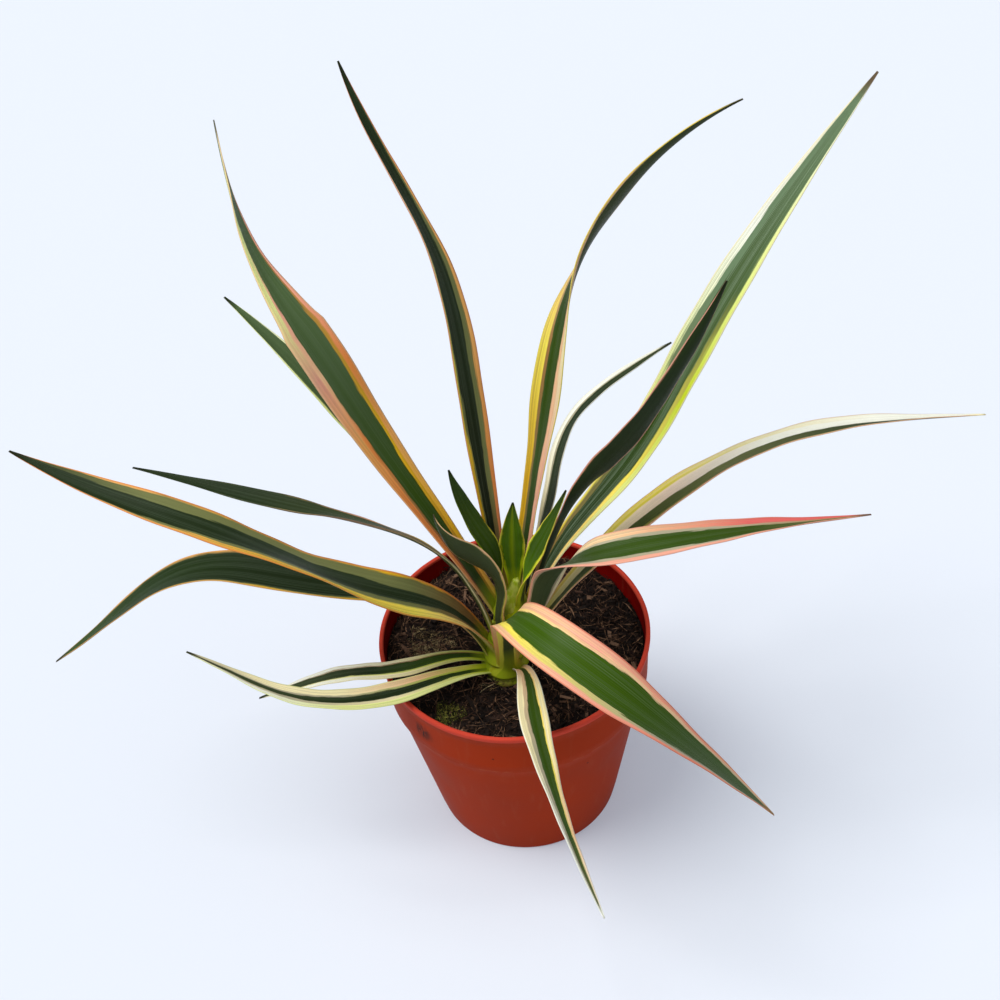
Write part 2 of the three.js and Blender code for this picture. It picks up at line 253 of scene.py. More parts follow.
class Shader(Tree):
    """A material under construction: its node tree and its main shader."""

    def __init__(self, name: str) -> None:
        """Starts a material with one Principled shader.

        Args:
            name: the material's name.
        """
        self.material = bpy.data.materials.new(name)
        self.material.use_nodes = True
        super().__init__(self.material.node_tree)
        self.main = self.tree.nodes["Principled BSDF"]

    def mix(self, amount: Value, low: Value, high: Value, blend: str = "MIX") -> Socket:
        """Adds a colour Mix node from low, at amount 0, to high, at amount 1."""
        inputs = {0: amount, 6: low, 7: high}
        return self.node("ShaderNodeMix", inputs, data_type="RGBA", blend_type=blend).outputs[2]

    def shade(self, colour: Value, amount: Value) -> Socket:
        """Multiplies a colour's red, green and blue by an amount."""
        return self.mix(1.0, colour, self.vector(amount, amount, amount), "MULTIPLY")

    def ramp(self, amount: Value, places: Sequence[float], colours: Sequence[Rgba]) -> Socket:
        """Adds a colour ramp.

        Args:
            amount: the socket that it reads.
            places: where each colour stands, from 0 to 1.
            colours: the linear colours.

        Returns:
            The colour's socket.
        """
        node = self.node("ShaderNodeValToRGB", {0: amount})
        elements = node.color_ramp.elements
        while len(elements) < len(colours):
            elements.new(0.5)
        for element, place, colour in zip(elements, places, colours):
            element.position = place
            element.color = colour
        return node.outputs[0]

    def tones(self, amount: Value, tones: Sequence[Tone]) -> Socket:
        """Adds a ramp of two or more named tones at even places."""
        places = [k / (len(tones) - 1) for k in range(len(tones))]
        return self.ramp(amount, places, [tone.colour for tone in tones])

    def curve(self, amount: Value, values: Sequence[float]) -> Socket:
        """Adds a curve through evenly spaced values.

        Args:
            amount: the socket that it reads.
            values: the curve's values from its start to its end.

        Returns:
            The curve's value there.
        """
        node = self.node("ShaderNodeFloatCurve", {"Value": amount})
        points = node.mapping.curves[0].points
        while len(points) < len(values):
            points.new(0.5, 0.5)
        for k, value in enumerate(values):
            points[k].location = (k / (len(values) - 1), value)
        node.mapping.update()
        return node.outputs[0]

    def noise(self, place: Value, grain: Grain) -> Socket:
        """Adds a noise texture.

        Args:
            place: the place that it reads.
            grain: its scale, detail, roughness, stretch and offset.

        Returns:
            Its grey value.
        """
        moved = self.vector_math("MULTIPLY_ADD", place, grain.stretch, grain.offset)
        inputs = {"Scale": grain.scale, "Detail": grain.detail, "Roughness": grain.rough}
        return self.node("ShaderNodeTexNoise", {"Vector": moved, **inputs}).outputs["Fac"]

    def rescale(self, value: Value, old: Pair, new: Pair) -> Socket:
        """Adds a Map Range node from an old range to a new one, held at its ends."""
        return self.node("ShaderNodeMapRange", dict(enumerate((value, *old, *new)))).outputs[0]

    def attribute(self, name: str) -> bpy.types.Node:
        """Adds a node that reads an attribute of the mesh."""
        return self.node("ShaderNodeAttribute", {}, attribute_name=name)

    def place(self) -> Socket:
        """The Object coordinates."""
        return self.node("ShaderNodeTexCoord", {}).outputs["Object"]

    def bump(self, height: Value, strength: float, distance: float) -> None:
        """Gives the main shader a bump from a height, whose size is in millimetres."""
        inputs = {"Strength": strength, "Distance": distance * MM, "Height": height}
        self.fill(self.main, {"Normal": self.node("ShaderNodeBump", inputs).outputs[0]})

    def finish(self, colour: Value, roughness: Value, specular: float) -> bpy.types.Material:
        """Feeds the main shader's colour, roughness and plain reflection.

        Args:
            colour: the base colour.
            roughness: the roughness.
            specular: the strength of its plain reflection.

        Returns:
            The finished material.
        """
        inputs = {"Base Color": colour, "Roughness": roughness, "Specular IOR Level": specular}
        self.fill(self.main, inputs)
        return self.material


@dataclass(frozen=True)
class Specks:
    """Small round marks in a few of the random cells that fill space, by scale cells a metre.

    A cell has a mark where its random value is past the rarity. The size is where a mark starts
    and ends to fade, as a share of a cell.
    """

    tint: Rgb
    scale: float
    rarity: Pair
    size: Pair
    strength: float

    def over(self, shader: Shader, place: Socket, colour: Socket) -> Socket:
        """Lays the marks over a colour.

        Args:
            shader: the material.
            place: the place that they read.
            colour: the colour below them.

        Returns:
            The colour with its marks.
        """
        cells = shader.node("ShaderNodeTexVoronoi", {"Vector": place, "Scale": self.scale})
        chosen = shader.rescale(shader.split(cells.outputs["Color"])[0], self.rarity, FADE_IN)
        mark = shader.rescale(cells.outputs["Distance"], self.size, (self.strength, 0.0))
        return shader.mix(shader.math("MULTIPLY", mark, chosen), colour, linear(self.tint))


@dataclass(frozen=True)
class Margin:
    """The pale stripe along one edge of a blade, from its foot to its tip."""

    width: Five
    outer: tuple[Tone, ...]
    inner: tuple[Tone, ...]
    inner_share: float = 0.3


@dataclass(frozen=True)
class LeafFinish:
    """How one leaf is coloured. Left and right are as seen from its foot to its tip, from above.

    Margins and softness are shares of the blade's width, and the stripe's width is a share of
    half of it. The fraying of the margins is of three kinds: by the slow wander, the broad grain
    and the fine fibre. The sheen is how strongly the pale lines of painted sheen show in the
    core. The reach of the sheath, of the earth and of the tip is a share of the blade's length,
    and a bump is its strength and its depth in millimetres. A band is the part of a noise's
    range that its pattern fills.
    """

    core: tuple[Tone, ...]
    left: Margin
    right: Margin
    under: Tone = Tone.SLATE_GREEN
    edge: Tone = Tone.APRICOT
    tip: Tone = Tone.BLACK_GREEN
    stripe: float = 0.0
    stripe_width: float = 0.3
    sheen: float = 0.14
    edge_width: float = 0.035
    edge_strength: float = 0.75
    softness: float = 0.012
    inner_softness: float = 0.03
    grain: Grain = Grain(2.0, 4, stretch=(9.0, 1.0, 0.0))
    fibre: Grain = Grain(1.6, 3, stretch=(40.0, 1.0, 1.0))
    wander: Grain = Grain(2.0, 3, stretch=(1.0, 6.0, 0.0), offset=(0.0, 0.0, 3.0))
    lines: Grain = Grain(1.4, 4, stretch=(17.0, 1.0, 0.0), offset=(0.0, 0.0, 7.0))
    # Pale lengthwise lines of painted sheen in the core; their band is given below.
    sheen_lines: Grain = Grain(1.6, 5, 0.65, stretch=(24.0, 1.0, 0.0), offset=(0.0, 0.0, 11.0))
    fraying: Triple = (0.03, 0.02, 0.018)
    line_band: Pair = (0.54, 0.66)
    line_strength: float = 0.7
    sheen_band: Pair = (0.48, 0.66)
    bright_band: Pair = (0.3, 0.75)
    bright_above: float = 0.35
    bright_under: float = 0.3
    under_dulling: float = 0.25
    vein_band: Pair = (0.35, 0.65)
    vein_shade: Pair = (0.74, 1.1)
    vein_bump: Pair = (0.35, 0.4)
    sheath_reach: Pair = (-0.02, 0.07)
    sheath_strength: float = 0.8
    soiled_height: float = 6.0
    soiled_reach: float = 0.03
    soiled_strength: float = 0.95
    soil_grain: Grain = Grain(300.0, 4)
    soil_band: Pair = (0.38, 0.55)
    soil_least: float = 0.2
    specks: Specks = Specks(Tone.BROWN.value, 95.0, (0.84, 0.86), (0.02, 0.05), 0.55)
    tip_reach: Pair = (0.955, 0.985)
    tip_strength: float = 0.9
    roughness: Pair = (0.3, 0.44)
    specular: float = 0.08

    def margin_of(
        self, shader: Shader, margin: Margin, depth: Socket, way: Socket, streak: Socket
    ) -> tuple[Socket, Socket]:
        """The colour of a margin and how much of it shows.

        Args:
            shader: the leaf's material.
            margin: the margin.
            depth: the distance from the margin's edge as a share of the blade's width.
            way: the share of the blade's length.
            streak: how strongly the inner colour shows through in fine lengthwise lines.

        Returns:
            The amount's socket and the colour's socket.
        """
        width = shader.curve(way, margin.width)
        outer_width = shader.math("MULTIPLY", width, 1 - margin.inner_share)
        shown = shader.math("SUBTRACT", width, depth)
        shown = shader.math("DIVIDE", shown, self.softness, clamp=True)
        bright = shader.math("SUBTRACT", outer_width, depth)
        bright = shader.math("DIVIDE", bright, self.inner_softness, clamp=True)
        bright = shader.math("SUBTRACT", bright, streak, clamp=True)
        inner = shader.tones(way, margin.inner)
        outer = shader.tones(way, margin.outer)
        return shown, shader.mix(bright, inner, outer)

    def middle(self, shader: Shader, blade: Socket, grain: Socket) -> Socket:
        """The green between the margins, above and on the under side.

        Args:
            shader: the leaf's material.
            blade: the place on the blade: across it, along it and its side.
            grain: the broad lengthwise noise.

        Returns:
            The colour's socket.
        """
        across, way, under = shader.split(blade)
        bright = shader.rescale(grain, self.bright_band, FADE_IN)
        above = shader.math("MULTIPLY", bright, self.bright_above)
        core = shader.mix(above, shader.tones(way, self.core), Tone.GREEN.colour, "SOFT_LIGHT")
        # Painted sheen: pale lengthwise lines mixed into the core.
        pale = shader.noise(blade, self.sheen_lines)
        pale = shader.rescale(pale, self.sheen_band, (0.0, self.sheen))
        core = shader.mix(pale, core, Tone.SHEEN.colour)
        if self.stripe > 0:
            off_middle = shader.math("ABSOLUTE", across)
            striped = shader.rescale(off_middle, (0.0, self.stripe_width), (self.stripe, 0.0))
            core = shader.mix(striped, core, Tone.LIME.colour)
        below = shader.math("MULTIPLY", bright, self.bright_under)
        return shader.mix(under, core, shader.mix(below, self.under.colour, core))

    def margins(
        self, shader: Shader, blade: Socket, colour: Socket, grain: Socket, fibre: Socket
    ) -> Socket:
        """Lays both margins and their thin coloured edges over the middle.

        Args:
            shader: the leaf's material.
            blade: the place on the blade: across it, along it and its side.
            colour: the middle's colour.
            grain: the broad lengthwise noise.
            fibre: the fine lengthwise noise.

        Returns:
            The colour's socket.
        """
        across, way, _ = shader.split(blade)
        jitter: Value = 0.0
        for source, reach in zip((shader.noise(blade, self.wander), grain, fibre), self.fraying):
            jitter = shader.math("ADD", jitter, shader.rescale(source, NOISE, (-reach, reach)))
        lines = shader.noise(blade, self.lines)
        streak = shader.rescale(lines, self.line_band, (0.0, self.line_strength))
        half = shader.math("MULTIPLY", across, 0.5)
        from_left = shader.math("ADD", half, 0.5)
        from_right = shader.math("SUBTRACT", 0.5, half)
        for margin, depth in ((self.left, from_left), (self.right, from_right)):
            wavering = shader.math("ADD", depth, jitter)
            shown, tint = self.margin_of(shader, margin, wavering, way, streak)
            colour = shader.mix(shown, colour, tint)
            fading = (self.edge_width * 0.5, self.edge_width)
            rim = shader.rescale(depth, fading, (self.edge_strength, 0.0))
            colour = shader.mix(rim, colour, self.edge.colour)
        return colour

    def ends(self, shader: Shader, way: Socket, colour: Socket) -> Socket:
        """Lays the sheath's colour, earth, specks and the dry tip over the blade.

        Args:
            shader: the leaf's material.
            way: the share of the blade's length.
            colour: the blade's colour.

        Returns:
            The colour's socket.
        """
        place = shader.place()
        foot = shader.rescale(way, self.sheath_reach, (self.sheath_strength, 0.0))
        colour = shader.mix(foot, colour, Tone.SHEATH.colour)
        band = (SOIL_TOP * MM, (SOIL_TOP + self.soiled_height) * MM)
        low = shader.rescale(shader.split(place)[2], band, (self.soiled_strength, 0.0))
        near_foot = shader.rescale(way, (0.0, self.soiled_reach), FADE_OUT)
        torn = shader.noise(place, self.soil_grain)
        torn = shader.rescale(torn, self.soil_band, (self.soil_least, 1.0))
        earth = shader.math("MULTIPLY", shader.math("MULTIPLY", low, near_foot), torn)
        colour = shader.mix(earth, colour, Tone.EARTH.colour)
        colour = self.specks.over(shader, place, colour)
        tip = shader.rescale(way, self.tip_reach, (0.0, self.tip_strength))
        return shader.mix(tip, colour, self.tip.colour)

    def make(self, name: str) -> bpy.types.Material:
        """Builds the leaf's material, which reads the blade attribute of its mesh.

        Args:
            name: the material's name.

        Returns:
            The material.
        """
        shader = Shader(name)
        blade = shader.attribute("blade").outputs["Vector"]
        _, way, under = shader.split(blade)
        grain = shader.noise(blade, self.grain)
        fibre = shader.noise(blade, self.fibre)
        colour = self.middle(shader, blade, grain)
        colour = self.margins(shader, blade, colour, grain, fibre)
        colour = shader.shade(colour, shader.rescale(fibre, self.vein_band, self.vein_shade))
        dull = shader.math("MULTIPLY", under, self.under_dulling)
        colour = shader.mix(dull, colour, self.under.colour)
        colour = self.ends(shader, way, colour)
        shader.bump(fibre, *self.vein_bump)
        return shader.finish(colour, shader.rescale(grain, NOISE, self.roughness), self.specular)


@dataclass(frozen=True)
class PotFinish:
    """Moulded orange-brown plastic, with a paler lip, specks, a painted highlight along the step
    and an inside darkened to deep red as painted shade.
    """

    outside: Rgb = (162, 50, 16)
    lip: Rgb = (206, 70, 52)
    # The inside's deep red is painted shade: the same plastic, darkened where the rim and the leaves
    # shade the inner wall.
    inside: Rgb = (128, 10, 6)
    # Pale dust, whose colour also serves the painted highlight along the step.
    dust_and_highlight: Rgb = (190, 118, 92)
    lip_start: Pair = (0.3, 0.42)
    lip_end: Pair = (0.6, 0.72)
    cloud: Grain = Grain(22.0, 4)
    cloud_shade: Pair = (0.88, 1.06)
    drag: Grain = Grain(240.0, 3, stretch=(1.0, 1.0, 0.12))
    drag_band: Pair = (0.56, 0.8)
    haze: float = 0.08
    # A painted highlight along the step below the collar, broken up by noise.
    step_glint: Grain = Grain(160.0, 5)
    step_glint_band: Pair = (0.5, 0.6)
    step_glint_strength: float = 0.9
    step_glint_height: float = 87.4
    step_glint_depth: float = 1.8
    smudge: Rgb = (62, 28, 18)
    smudge_from: Triple = (-47.0, -43.5, 100.0)
    smudge_reach: Pair = (2.1, 7.0)
    smudge_grain: Grain = Grain(420.0, 4, 0.7, stretch=(1.0, 1.0, 0.3))
    smudge_band: Pair = (0.42, 0.54)
    specks: Specks = Specks((50, 24, 16), 70.0, (0.8, 0.82), (0.03, 0.05), 0.85)
    pores: Grain = Grain(900.0, 3)
    pore_bump: Pair = (0.12, 0.3)
    roughness: Pair = (0.42, 0.56)
    specular: float = 0.02

    def step_highlight(self, shader: Shader, place: Socket) -> Socket:
        """How pale the wall is with a painted highlight, broken up by noise, on the step below its
        collar.

        Args:
            shader: the pot's material.
            place: the Object coordinates.

        Returns:
            The amount's socket.
        """
        height = shader.split(place)[2]
        off_step = shader.math("ABSOLUTE", shader.math("SUBTRACT", height, self.step_glint_height * MM))
        near_step = shader.rescale(off_step, (0.0, self.step_glint_depth * MM), FADE_OUT)
        glint = shader.noise(place, self.step_glint)
        glint = shader.rescale(glint, self.step_glint_band, (0.0, self.step_glint_strength))
        return shader.math("MULTIPLY", glint, near_step)

    def smudged(self, shader: Shader, place: Socket) -> Socket:
        """How brown the wall is with the smear below its rim on the left.

        Args:
            shader: the pot's material.
            place: the Object coordinates.

        Returns:
            The amount's socket.
        """
        off = shader.distance(place, [value * MM for value in self.smudge_from])
        inner, outer = self.smudge_reach
        near = shader.rescale(off, (inner * MM, outer * MM), FADE_OUT)
        torn = shader.rescale(shader.noise(place, self.smudge_grain), self.smudge_band, FADE_IN)
        return shader.math("MULTIPLY", near, torn)

    def make(self) -> bpy.types.Material:
        """Builds the pot's material, which reads its side attribute: 0 out, 0.5 lip, 1 in.

        Returns:
            The material.
        """
        shader = Shader("pot_plastic")
        place = shader.place()
        outside, lip = linear(self.outside), linear(self.lip)
        places = (0.0, *self.lip_start, *self.lip_end)
        # From outside over the lip to the inside, whose darker red is painted shade.
        colours = (outside, outside, lip, lip, linear(self.inside))
        colour = shader.ramp(shader.attribute("side").outputs["Fac"], places, colours)
        cloud = shader.noise(place, self.cloud)
        colour = shader.shade(colour, shader.rescale(cloud, NOISE, self.cloud_shade))
        haze = shader.rescale(shader.noise(place, self.drag), self.drag_band, (0.0, self.haze))
        colour = shader.mix(haze, colour, linear(self.dust_and_highlight))
        # The painted highlight along the step.
        colour = shader.mix(self.step_highlight(shader, place), colour, linear(self.dust_and_highlight))
        colour = shader.mix(self.smudged(shader, place), colour, linear(self.smudge))
        colour = self.specks.over(shader, place, colour)
        shader.bump(shader.noise(place, self.pores), *self.pore_bump)
        return shader.finish(colour, shader.rescale(cloud, NOISE, self.roughness), self.specular)


@dataclass(frozen=True)
class EarthFinish:
    """Peat, its crumbs or its fibres: three browns mixed by a random value for each bit."""

    name: str
    dark: Rgb
    middle: Rgb
    light: Rgb
    places: Triple = (0.1, 0.55, 1.0)
    fine: Grain = Grain(500.0, 5, 0.7)
    patches: Grain = Grain(45.0, 3)
    mixed_band: Pair = (0.35, 0.65)
    mixing: float = 0.3
    grain_bump: Pair = (0.7, 0.8)
    roughness: float = 0.95
    specular: float = 0.25

    def make(self) -> bpy.types.Material:
        """Builds the material, which reads the tone attribute of its mesh.

        Returns:
            The material.
        """
        shader = Shader(self.name)
        place = shader.place()
        tone = shader.attribute("tone").outputs["Fac"]
        fine = shader.noise(place, self.fine)
        mixed = shader.math("ADD", fine, shader.noise(place, self.patches))
        mixed = shader.math("MULTIPLY", mixed, 0.5)
        mixed = shader.rescale(mixed, self.mixed_band, (-self.mixing, self.mixing))
        mixed = shader.math("ADD", mixed, tone, clamp=True)
        colours = [linear(rgb) for rgb in (self.dark, self.middle, self.light)]
        colour = shader.ramp(mixed, self.places, colours)
        shader.bump(fine, *self.grain_bump)
        return shader.finish(colour, self.roughness, self.specular)


@dataclass(frozen=True)
class StemFinish:
    """Fresh yellow-green stem with brown old fibres low down."""

    fresh: Rgb = (160, 178, 34)
    pale: Rgb = (206, 208, 110)
    brown: Rgb = (96, 70, 40)
    lines: Grain = Grain(620.0, 4, stretch=(1.0, 1.0, 0.15))
    line_band: Pair = (0.4, 0.65)
    line_strength: float = 0.7
    line_bump: Pair = (0.5, 0.5)
    brown_height: float = 6.0
    brown_strength: float = 0.95
    torn: Grain = Grain(300.0, 4)
    torn_band: Pair = (0.42, 0.6)
    roughness: float = 0.38
    specular: float = 0.5

    def make(self) -> bpy.types.Material:
        """Builds the stem's material.

        Returns:
            The material.
        """
        shader = Shader("stem_skin")
        place = shader.place()
        lines = shader.noise(place, self.lines)
        paler = shader.rescale(lines, self.line_band, (0.0, self.line_strength))
        colour = shader.mix(paler, linear(self.fresh), linear(self.pale))
        band = (SOIL_TOP * MM, (SOIL_TOP + self.brown_height) * MM)
        low = shader.rescale(shader.split(place)[2], band, (self.brown_strength, 0.0))
        torn = shader.rescale(shader.noise(place, self.torn), self.torn_band, FADE_IN)
        colour = shader.mix(shader.math("MULTIPLY", low, torn), colour, linear(self.brown))
        shader.bump(lines, *self.line_bump)
        return shader.finish(colour, self.roughness, self.specular)


@dataclass(frozen=True)
class FloorFinish:
    """The plain pale surface that the pot stands on, which is lit a little from within."""

    colour: Rgb = (194, 197, 201)
    glow: Rgb = (126, 132, 144)
    glow_strength: float = 1.0
    roughness: float = 0.9
    specular: float = 0.1

    def make(self) -> bpy.types.Material:
        """Builds the floor's material.

        Returns:
            The material.
        """
        shader = Shader("pale_floor")
        glow = {"Emission Color": linear(self.glow), "Emission Strength": self.glow_strength}
        shader.fill(shader.main, glow)
        return shader.finish(linear(self.colour), self.roughness, self.specular)


def link(name: str, data: bpy.types.ID) -> bpy.types.Object:
    """Makes an object of some data and links it to the scene.

    Args:
        name: the object's name.
        data: its mesh, light or camera.

    Returns:
        The object.
    """
    thing = bpy.data.objects.new(name, data)
    bpy.context.scene.collection.objects.link(thing)
    return thing


def mesh_object(
    name: str,
    points: Sequence[Sequence[float]],
    faces: Sequence[Face],
    material: bpy.types.Material,
) -> bpy.types.Object:
    """Makes a smooth mesh object from points in millimetres.

    Args:
        name: the object's name.
        points: the points in millimetres.
        faces: each face's point numbers.
        material: its finish.

    Returns:
        The object, linked to the scene.
    """
    mesh = bpy.data.meshes.new(name)
    mesh.from_pydata([[value * MM for value in point] for point in points], [], faces)
    mesh.materials.append(material)
    mesh.shade_smooth()
    return link(name, mesh)


def set_values(mesh: bpy.types.Mesh, name: str, values: Sequence[float]) -> None:
    """Stores one number for each point of a mesh under a name."""
    mesh.attributes.new(name, "FLOAT", "POINT").data.foreach_set("value", values)


def turn_outwards(thing: bpy.types.Object) -> None:
    """Merges a mesh's doubles and turns its faces outwards.

    Args:
        thing: the object that has the mesh.
    """
    body = bmesh.new()
    body.from_mesh(thing.data)
    bmesh.ops.remove_doubles(body, verts=body.verts, dist=0.001 * MM)
    bmesh.ops.recalc_face_normals(body, faces=body.faces)
    body.to_mesh(thing.data)
    body.free()


def bake_modifiers(thing: bpy.types.Object) -> None:
    """Gives an object with modifiers their result as its mesh, and no modifiers.

    Args:
        thing: the object.
    """
    seen = thing.evaluated_get(bpy.context.evaluated_depsgraph_get())
    mesh = bpy.data.meshes.new_from_object(seen)
    thing.modifiers.clear()
    old = thing.data
    thing.data = mesh
    bpy.data.meshes.remove(old)
    mesh.name = thing.name


def hand_in(thing: bpy.types.Object, slot: Slot, *nodes: str) -> None:
    """Rides a piece on the body, hides the CAD nodes that it replaces and logs its triangles.

    Args:
        thing: the piece.
        slot: not used.
        nodes: the CAD nodes that it stands for.
    """
    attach(thing, BODY)
    if nodes:
        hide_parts(*nodes)
    triangles = sum(len(face.vertices) - 2 for face in thing.data.polygons)
    LOG.info("%s: %d triangles, for %s", thing.name, triangles, ", ".join(nodes) or "looks")


def grid_faces(rows: int, columns: int, closed: bool, start: int = 0) -> list[Face]:
    """Quads between rows of points.

    Args:
        rows: how many rows there are.
        columns: how many points each row has.
        closed: whether the last point of a row joins its first.
        start: the number of the first point.

    Returns:
        The quads' point numbers.
    """
    faces = []
    for row in range(rows - 1):
        for k in range(columns if closed else columns - 1):
            here, ahead = start + row * columns, start + (row + 1) * columns
            after = (k + 1) % columns
            faces.append([here + k, here + after, ahead + after, ahead + k])
    return faces


@dataclass
class Pot:
    """The tapered nursery pot, with its collar, rounded lip and drain holes."""

    height: float = POT_HEIGHT
    rim_radius: float = 65.0
    base_radius: float = 46.5
    wall: float = 1.5
    floor: float = 2.0
    collar_depth: float = 27.0
    collar_step: float = 1.5
    collar_flare: float = 0.8
    step_round: float = 0.4
    step_bulge: float = 0.35
    step_gap: float = 0.6
    lip_height: float = 3.0
    lip_reach: float = 0.7
    lip_round: float = 0.9
    lip_edge: float = 0.3
    lip_edge_heights: Pair = (0.1, 0.6)
    lip_inside_drops: Pair = (1.6, 2.6)
    foot_round: float = 1.2
    foot_steps: int = 4
    wall_steps: int = 12
    collar_steps: int = 5
    lip_steps: int = 8
    drains: int = 8
    drain_radius: float = 4.0
    drain_ring: float = 33.0
    drain_sides: int = 32
    sides: int = 192
    lip_wear: float = 0.16
    broad_wear: float = 0.09
    fine_wear: float = 0.45
    fine_wear_share: float = 0.4
    finish: PotFinish = field(default_factory=PotFinish)

    def outside(self, z: float) -> float:
        """The outer radius at a height.

        Args:
            z: the height.

        Returns:
            The radius.
        """
        collar_foot = self.height - self.collar_depth
        low = self.rim_radius - self.lip_reach - self.collar_flare
        if z >= collar_foot:
            return low + self.collar_flare * (z - collar_foot) / self.collar_depth
        top = low - self.collar_step
        return self.base_radius + (top - self.base_radius) * z / collar_foot

    def wall_outside(self) -> list[Triple]:
        """The outline from the floor's middle below, up the outside to the foot of the lip.

        Returns:
            Radius, height and side 0 of each point.
        """
        foot = self.height - self.collar_depth
        lip_foot = self.height - self.lip_height
        points = [(0.0, 0.0), (self.base_radius - 2 * self.foot_round, 0.0)]
        for k in range(self.foot_steps + 1):
            turn = math.pi / 2 * k / self.foot_steps
            reach = self.base_radius - self.foot_round * (1 - math.sin(turn))
            points.append((reach, self.foot_round * (1 - math.cos(turn))))
        for k in range(1, self.wall_steps + 1):
            z = self.foot_round + (foot - self.step_gap - self.foot_round) * k / self.wall_steps
            points.append((self.outside(z), z))
        bulge = self.outside(foot - self.step_round / 4) + self.step_bulge
        points.append((bulge, foot - self.step_round / 2))
        points.append((self.outside(foot) - self.step_round, foot))
        points.append((self.outside(foot), foot + self.step_round))
        for k in range(1, self.collar_steps + 1):
            rest = lip_foot - 2 * self.step_round - foot
            z = foot + self.step_round + rest * k / self.collar_steps
            points.append((self.outside(z), z))
        return [(reach, z, 0.0) for reach, z in points]

    def profile(self) -> list[Triple]:
        """The turned outline.

        Returns:
            Radius, height and side (0 out, 0.5 lip, 1 in) of each point, from the floor's
            middle below, up the outside, over the lip and down to the floor's middle inside.
        """
        foot, top, rim = self.height - self.collar_depth, self.height, self.rim_radius
        lip_foot = top - self.lip_height
        inner = rim - self.lip_reach - self.wall
        points = self.wall_outside()
        low, high = self.lip_edge_heights
        points += [(rim - self.lip_edge, lip_foot + low, 0.2), (rim, lip_foot + high, 0.45)]
        middle, half = (rim + inner) / 2, (rim - inner) / 2
        for k in range(self.lip_steps + 1):
            turn = math.pi * k / self.lip_steps
            z = top - self.lip_round + self.lip_round * math.sin(turn)
            points.append((middle + half * math.cos(turn), z, 0.5))
        for drop, side in zip(self.lip_inside_drops, (0.6, 1.0)):
            points.append((inner, top - drop, side))
        points.append((self.outside(foot) - self.wall, foot, 1.0))
        for z in (foot - self.wall, self.floor):
            points.append((self.outside(z) - self.wall, z, 1.0))
        points.append((0.0, self.floor, 1.0))
        return points

    def worn(self, point: Vector, side: float) -> Vector:
        """Moves a point of the lip a little, as thin moulded plastic is never quite even.

        Args:
            point: the point.
            side: 0 outside, 0.5 on the lip, 1 inside.

        Returns:
            The moved point.
        """
        if not 0.3 <= side < 0.9:
            return point
        shift = noise.noise(point * self.broad_wear)
        shift += self.fine_wear_share * noise.noise(point * self.fine_wear)
        return point + Vector((0, 0, self.lip_wear * shift))

    def shell(self) -> bpy.types.Object:
        """Turns the outline into a closed wall.

        Returns:
            The wall's object.
        """
        profile = self.profile()
        points: list[Vector] = []
        for radius, height, side in profile:
            for turn in turns(self.sides):
                point = Vector((radius * math.cos(turn), radius * math.sin(turn), height))
                points.append(self.worn(point, side))
        faces = grid_faces(len(profile), self.sides, True)
        thing = mesh_object("pot_body", points, faces, self.finish.make())
        set_values(thing.data, "side", [row[2] for row in profile for _ in range(self.sides)])
        turn_outwards(thing)
        return thing

    def drill(self, thing: bpy.types.Object) -> None:
        """Cuts the ring of drain holes through the floor.

        Args:
            thing: the pot's object.
        """
        body = bmesh.new()
        for k in range(self.drains):
            turn = 2 * math.pi * (k + 0.5) / self.drains
            place = (self.drain_ring * math.cos(turn), self.drain_ring * math.sin(turn), 0)
            bmesh.ops.create_cone(
                body,
                cap_ends=True,
                segments=self.drain_sides,
                radius1=self.drain_radius * MM,
                radius2=self.drain_radius * MM,
                depth=4 * self.floor * MM,
                matrix=Matrix.Translation(Vector(place) * MM),
            )
        mesh = bpy.data.meshes.new("drill")
        body.to_mesh(mesh)
        body.free()
        drill = link("drill", mesh)
        cut = thing.modifiers.new("drains", "BOOLEAN")
        cut.object = drill
        cut.solver = "EXACT"
        bake_modifiers(thing)
        bpy.data.objects.remove(drill)

    def build(self) -> None:
        """Builds the pot and hands it in."""
        thing = self.shell()
        self.drill(thing)
        hand_in(thing, Slot.POT, "pot")


@dataclass(frozen=True)
class Disc:
    """A round stretch of the soil's top, whose edge may wave."""

    middle: Pair
    radius: float
    wave: float = 0.25
    waves: int = 3
    rings: int = 6
    sides: int = 24

    def surface(
        self, height: Callable[[float, float], float], phase: float = 0.0
    ) -> tuple[list[list[float]], list[Face]]:
        """The points and faces of the stretch, from its edge to its middle.

        Args:
            height: gives the soil's height at a place.
            phase: where the waves of the edge start, in radians.

        Returns:
            The points in millimetres and the faces.
        """
        points = []
        for row in range(self.rings + 1):
            reach = self.radius * (1 - row / (self.rings + 1))
            for turn in turns(self.sides):
                edge = reach * (1 + self.wave * math.sin(self.waves * turn + phase))
                x = self.middle[0] + edge * math.cos(turn)
                y = self.middle[1] + edge * math.sin(turn)
                points.append([x, y, height(x, y)])
        return points, grid_faces(self.rings + 1, self.sides, True)


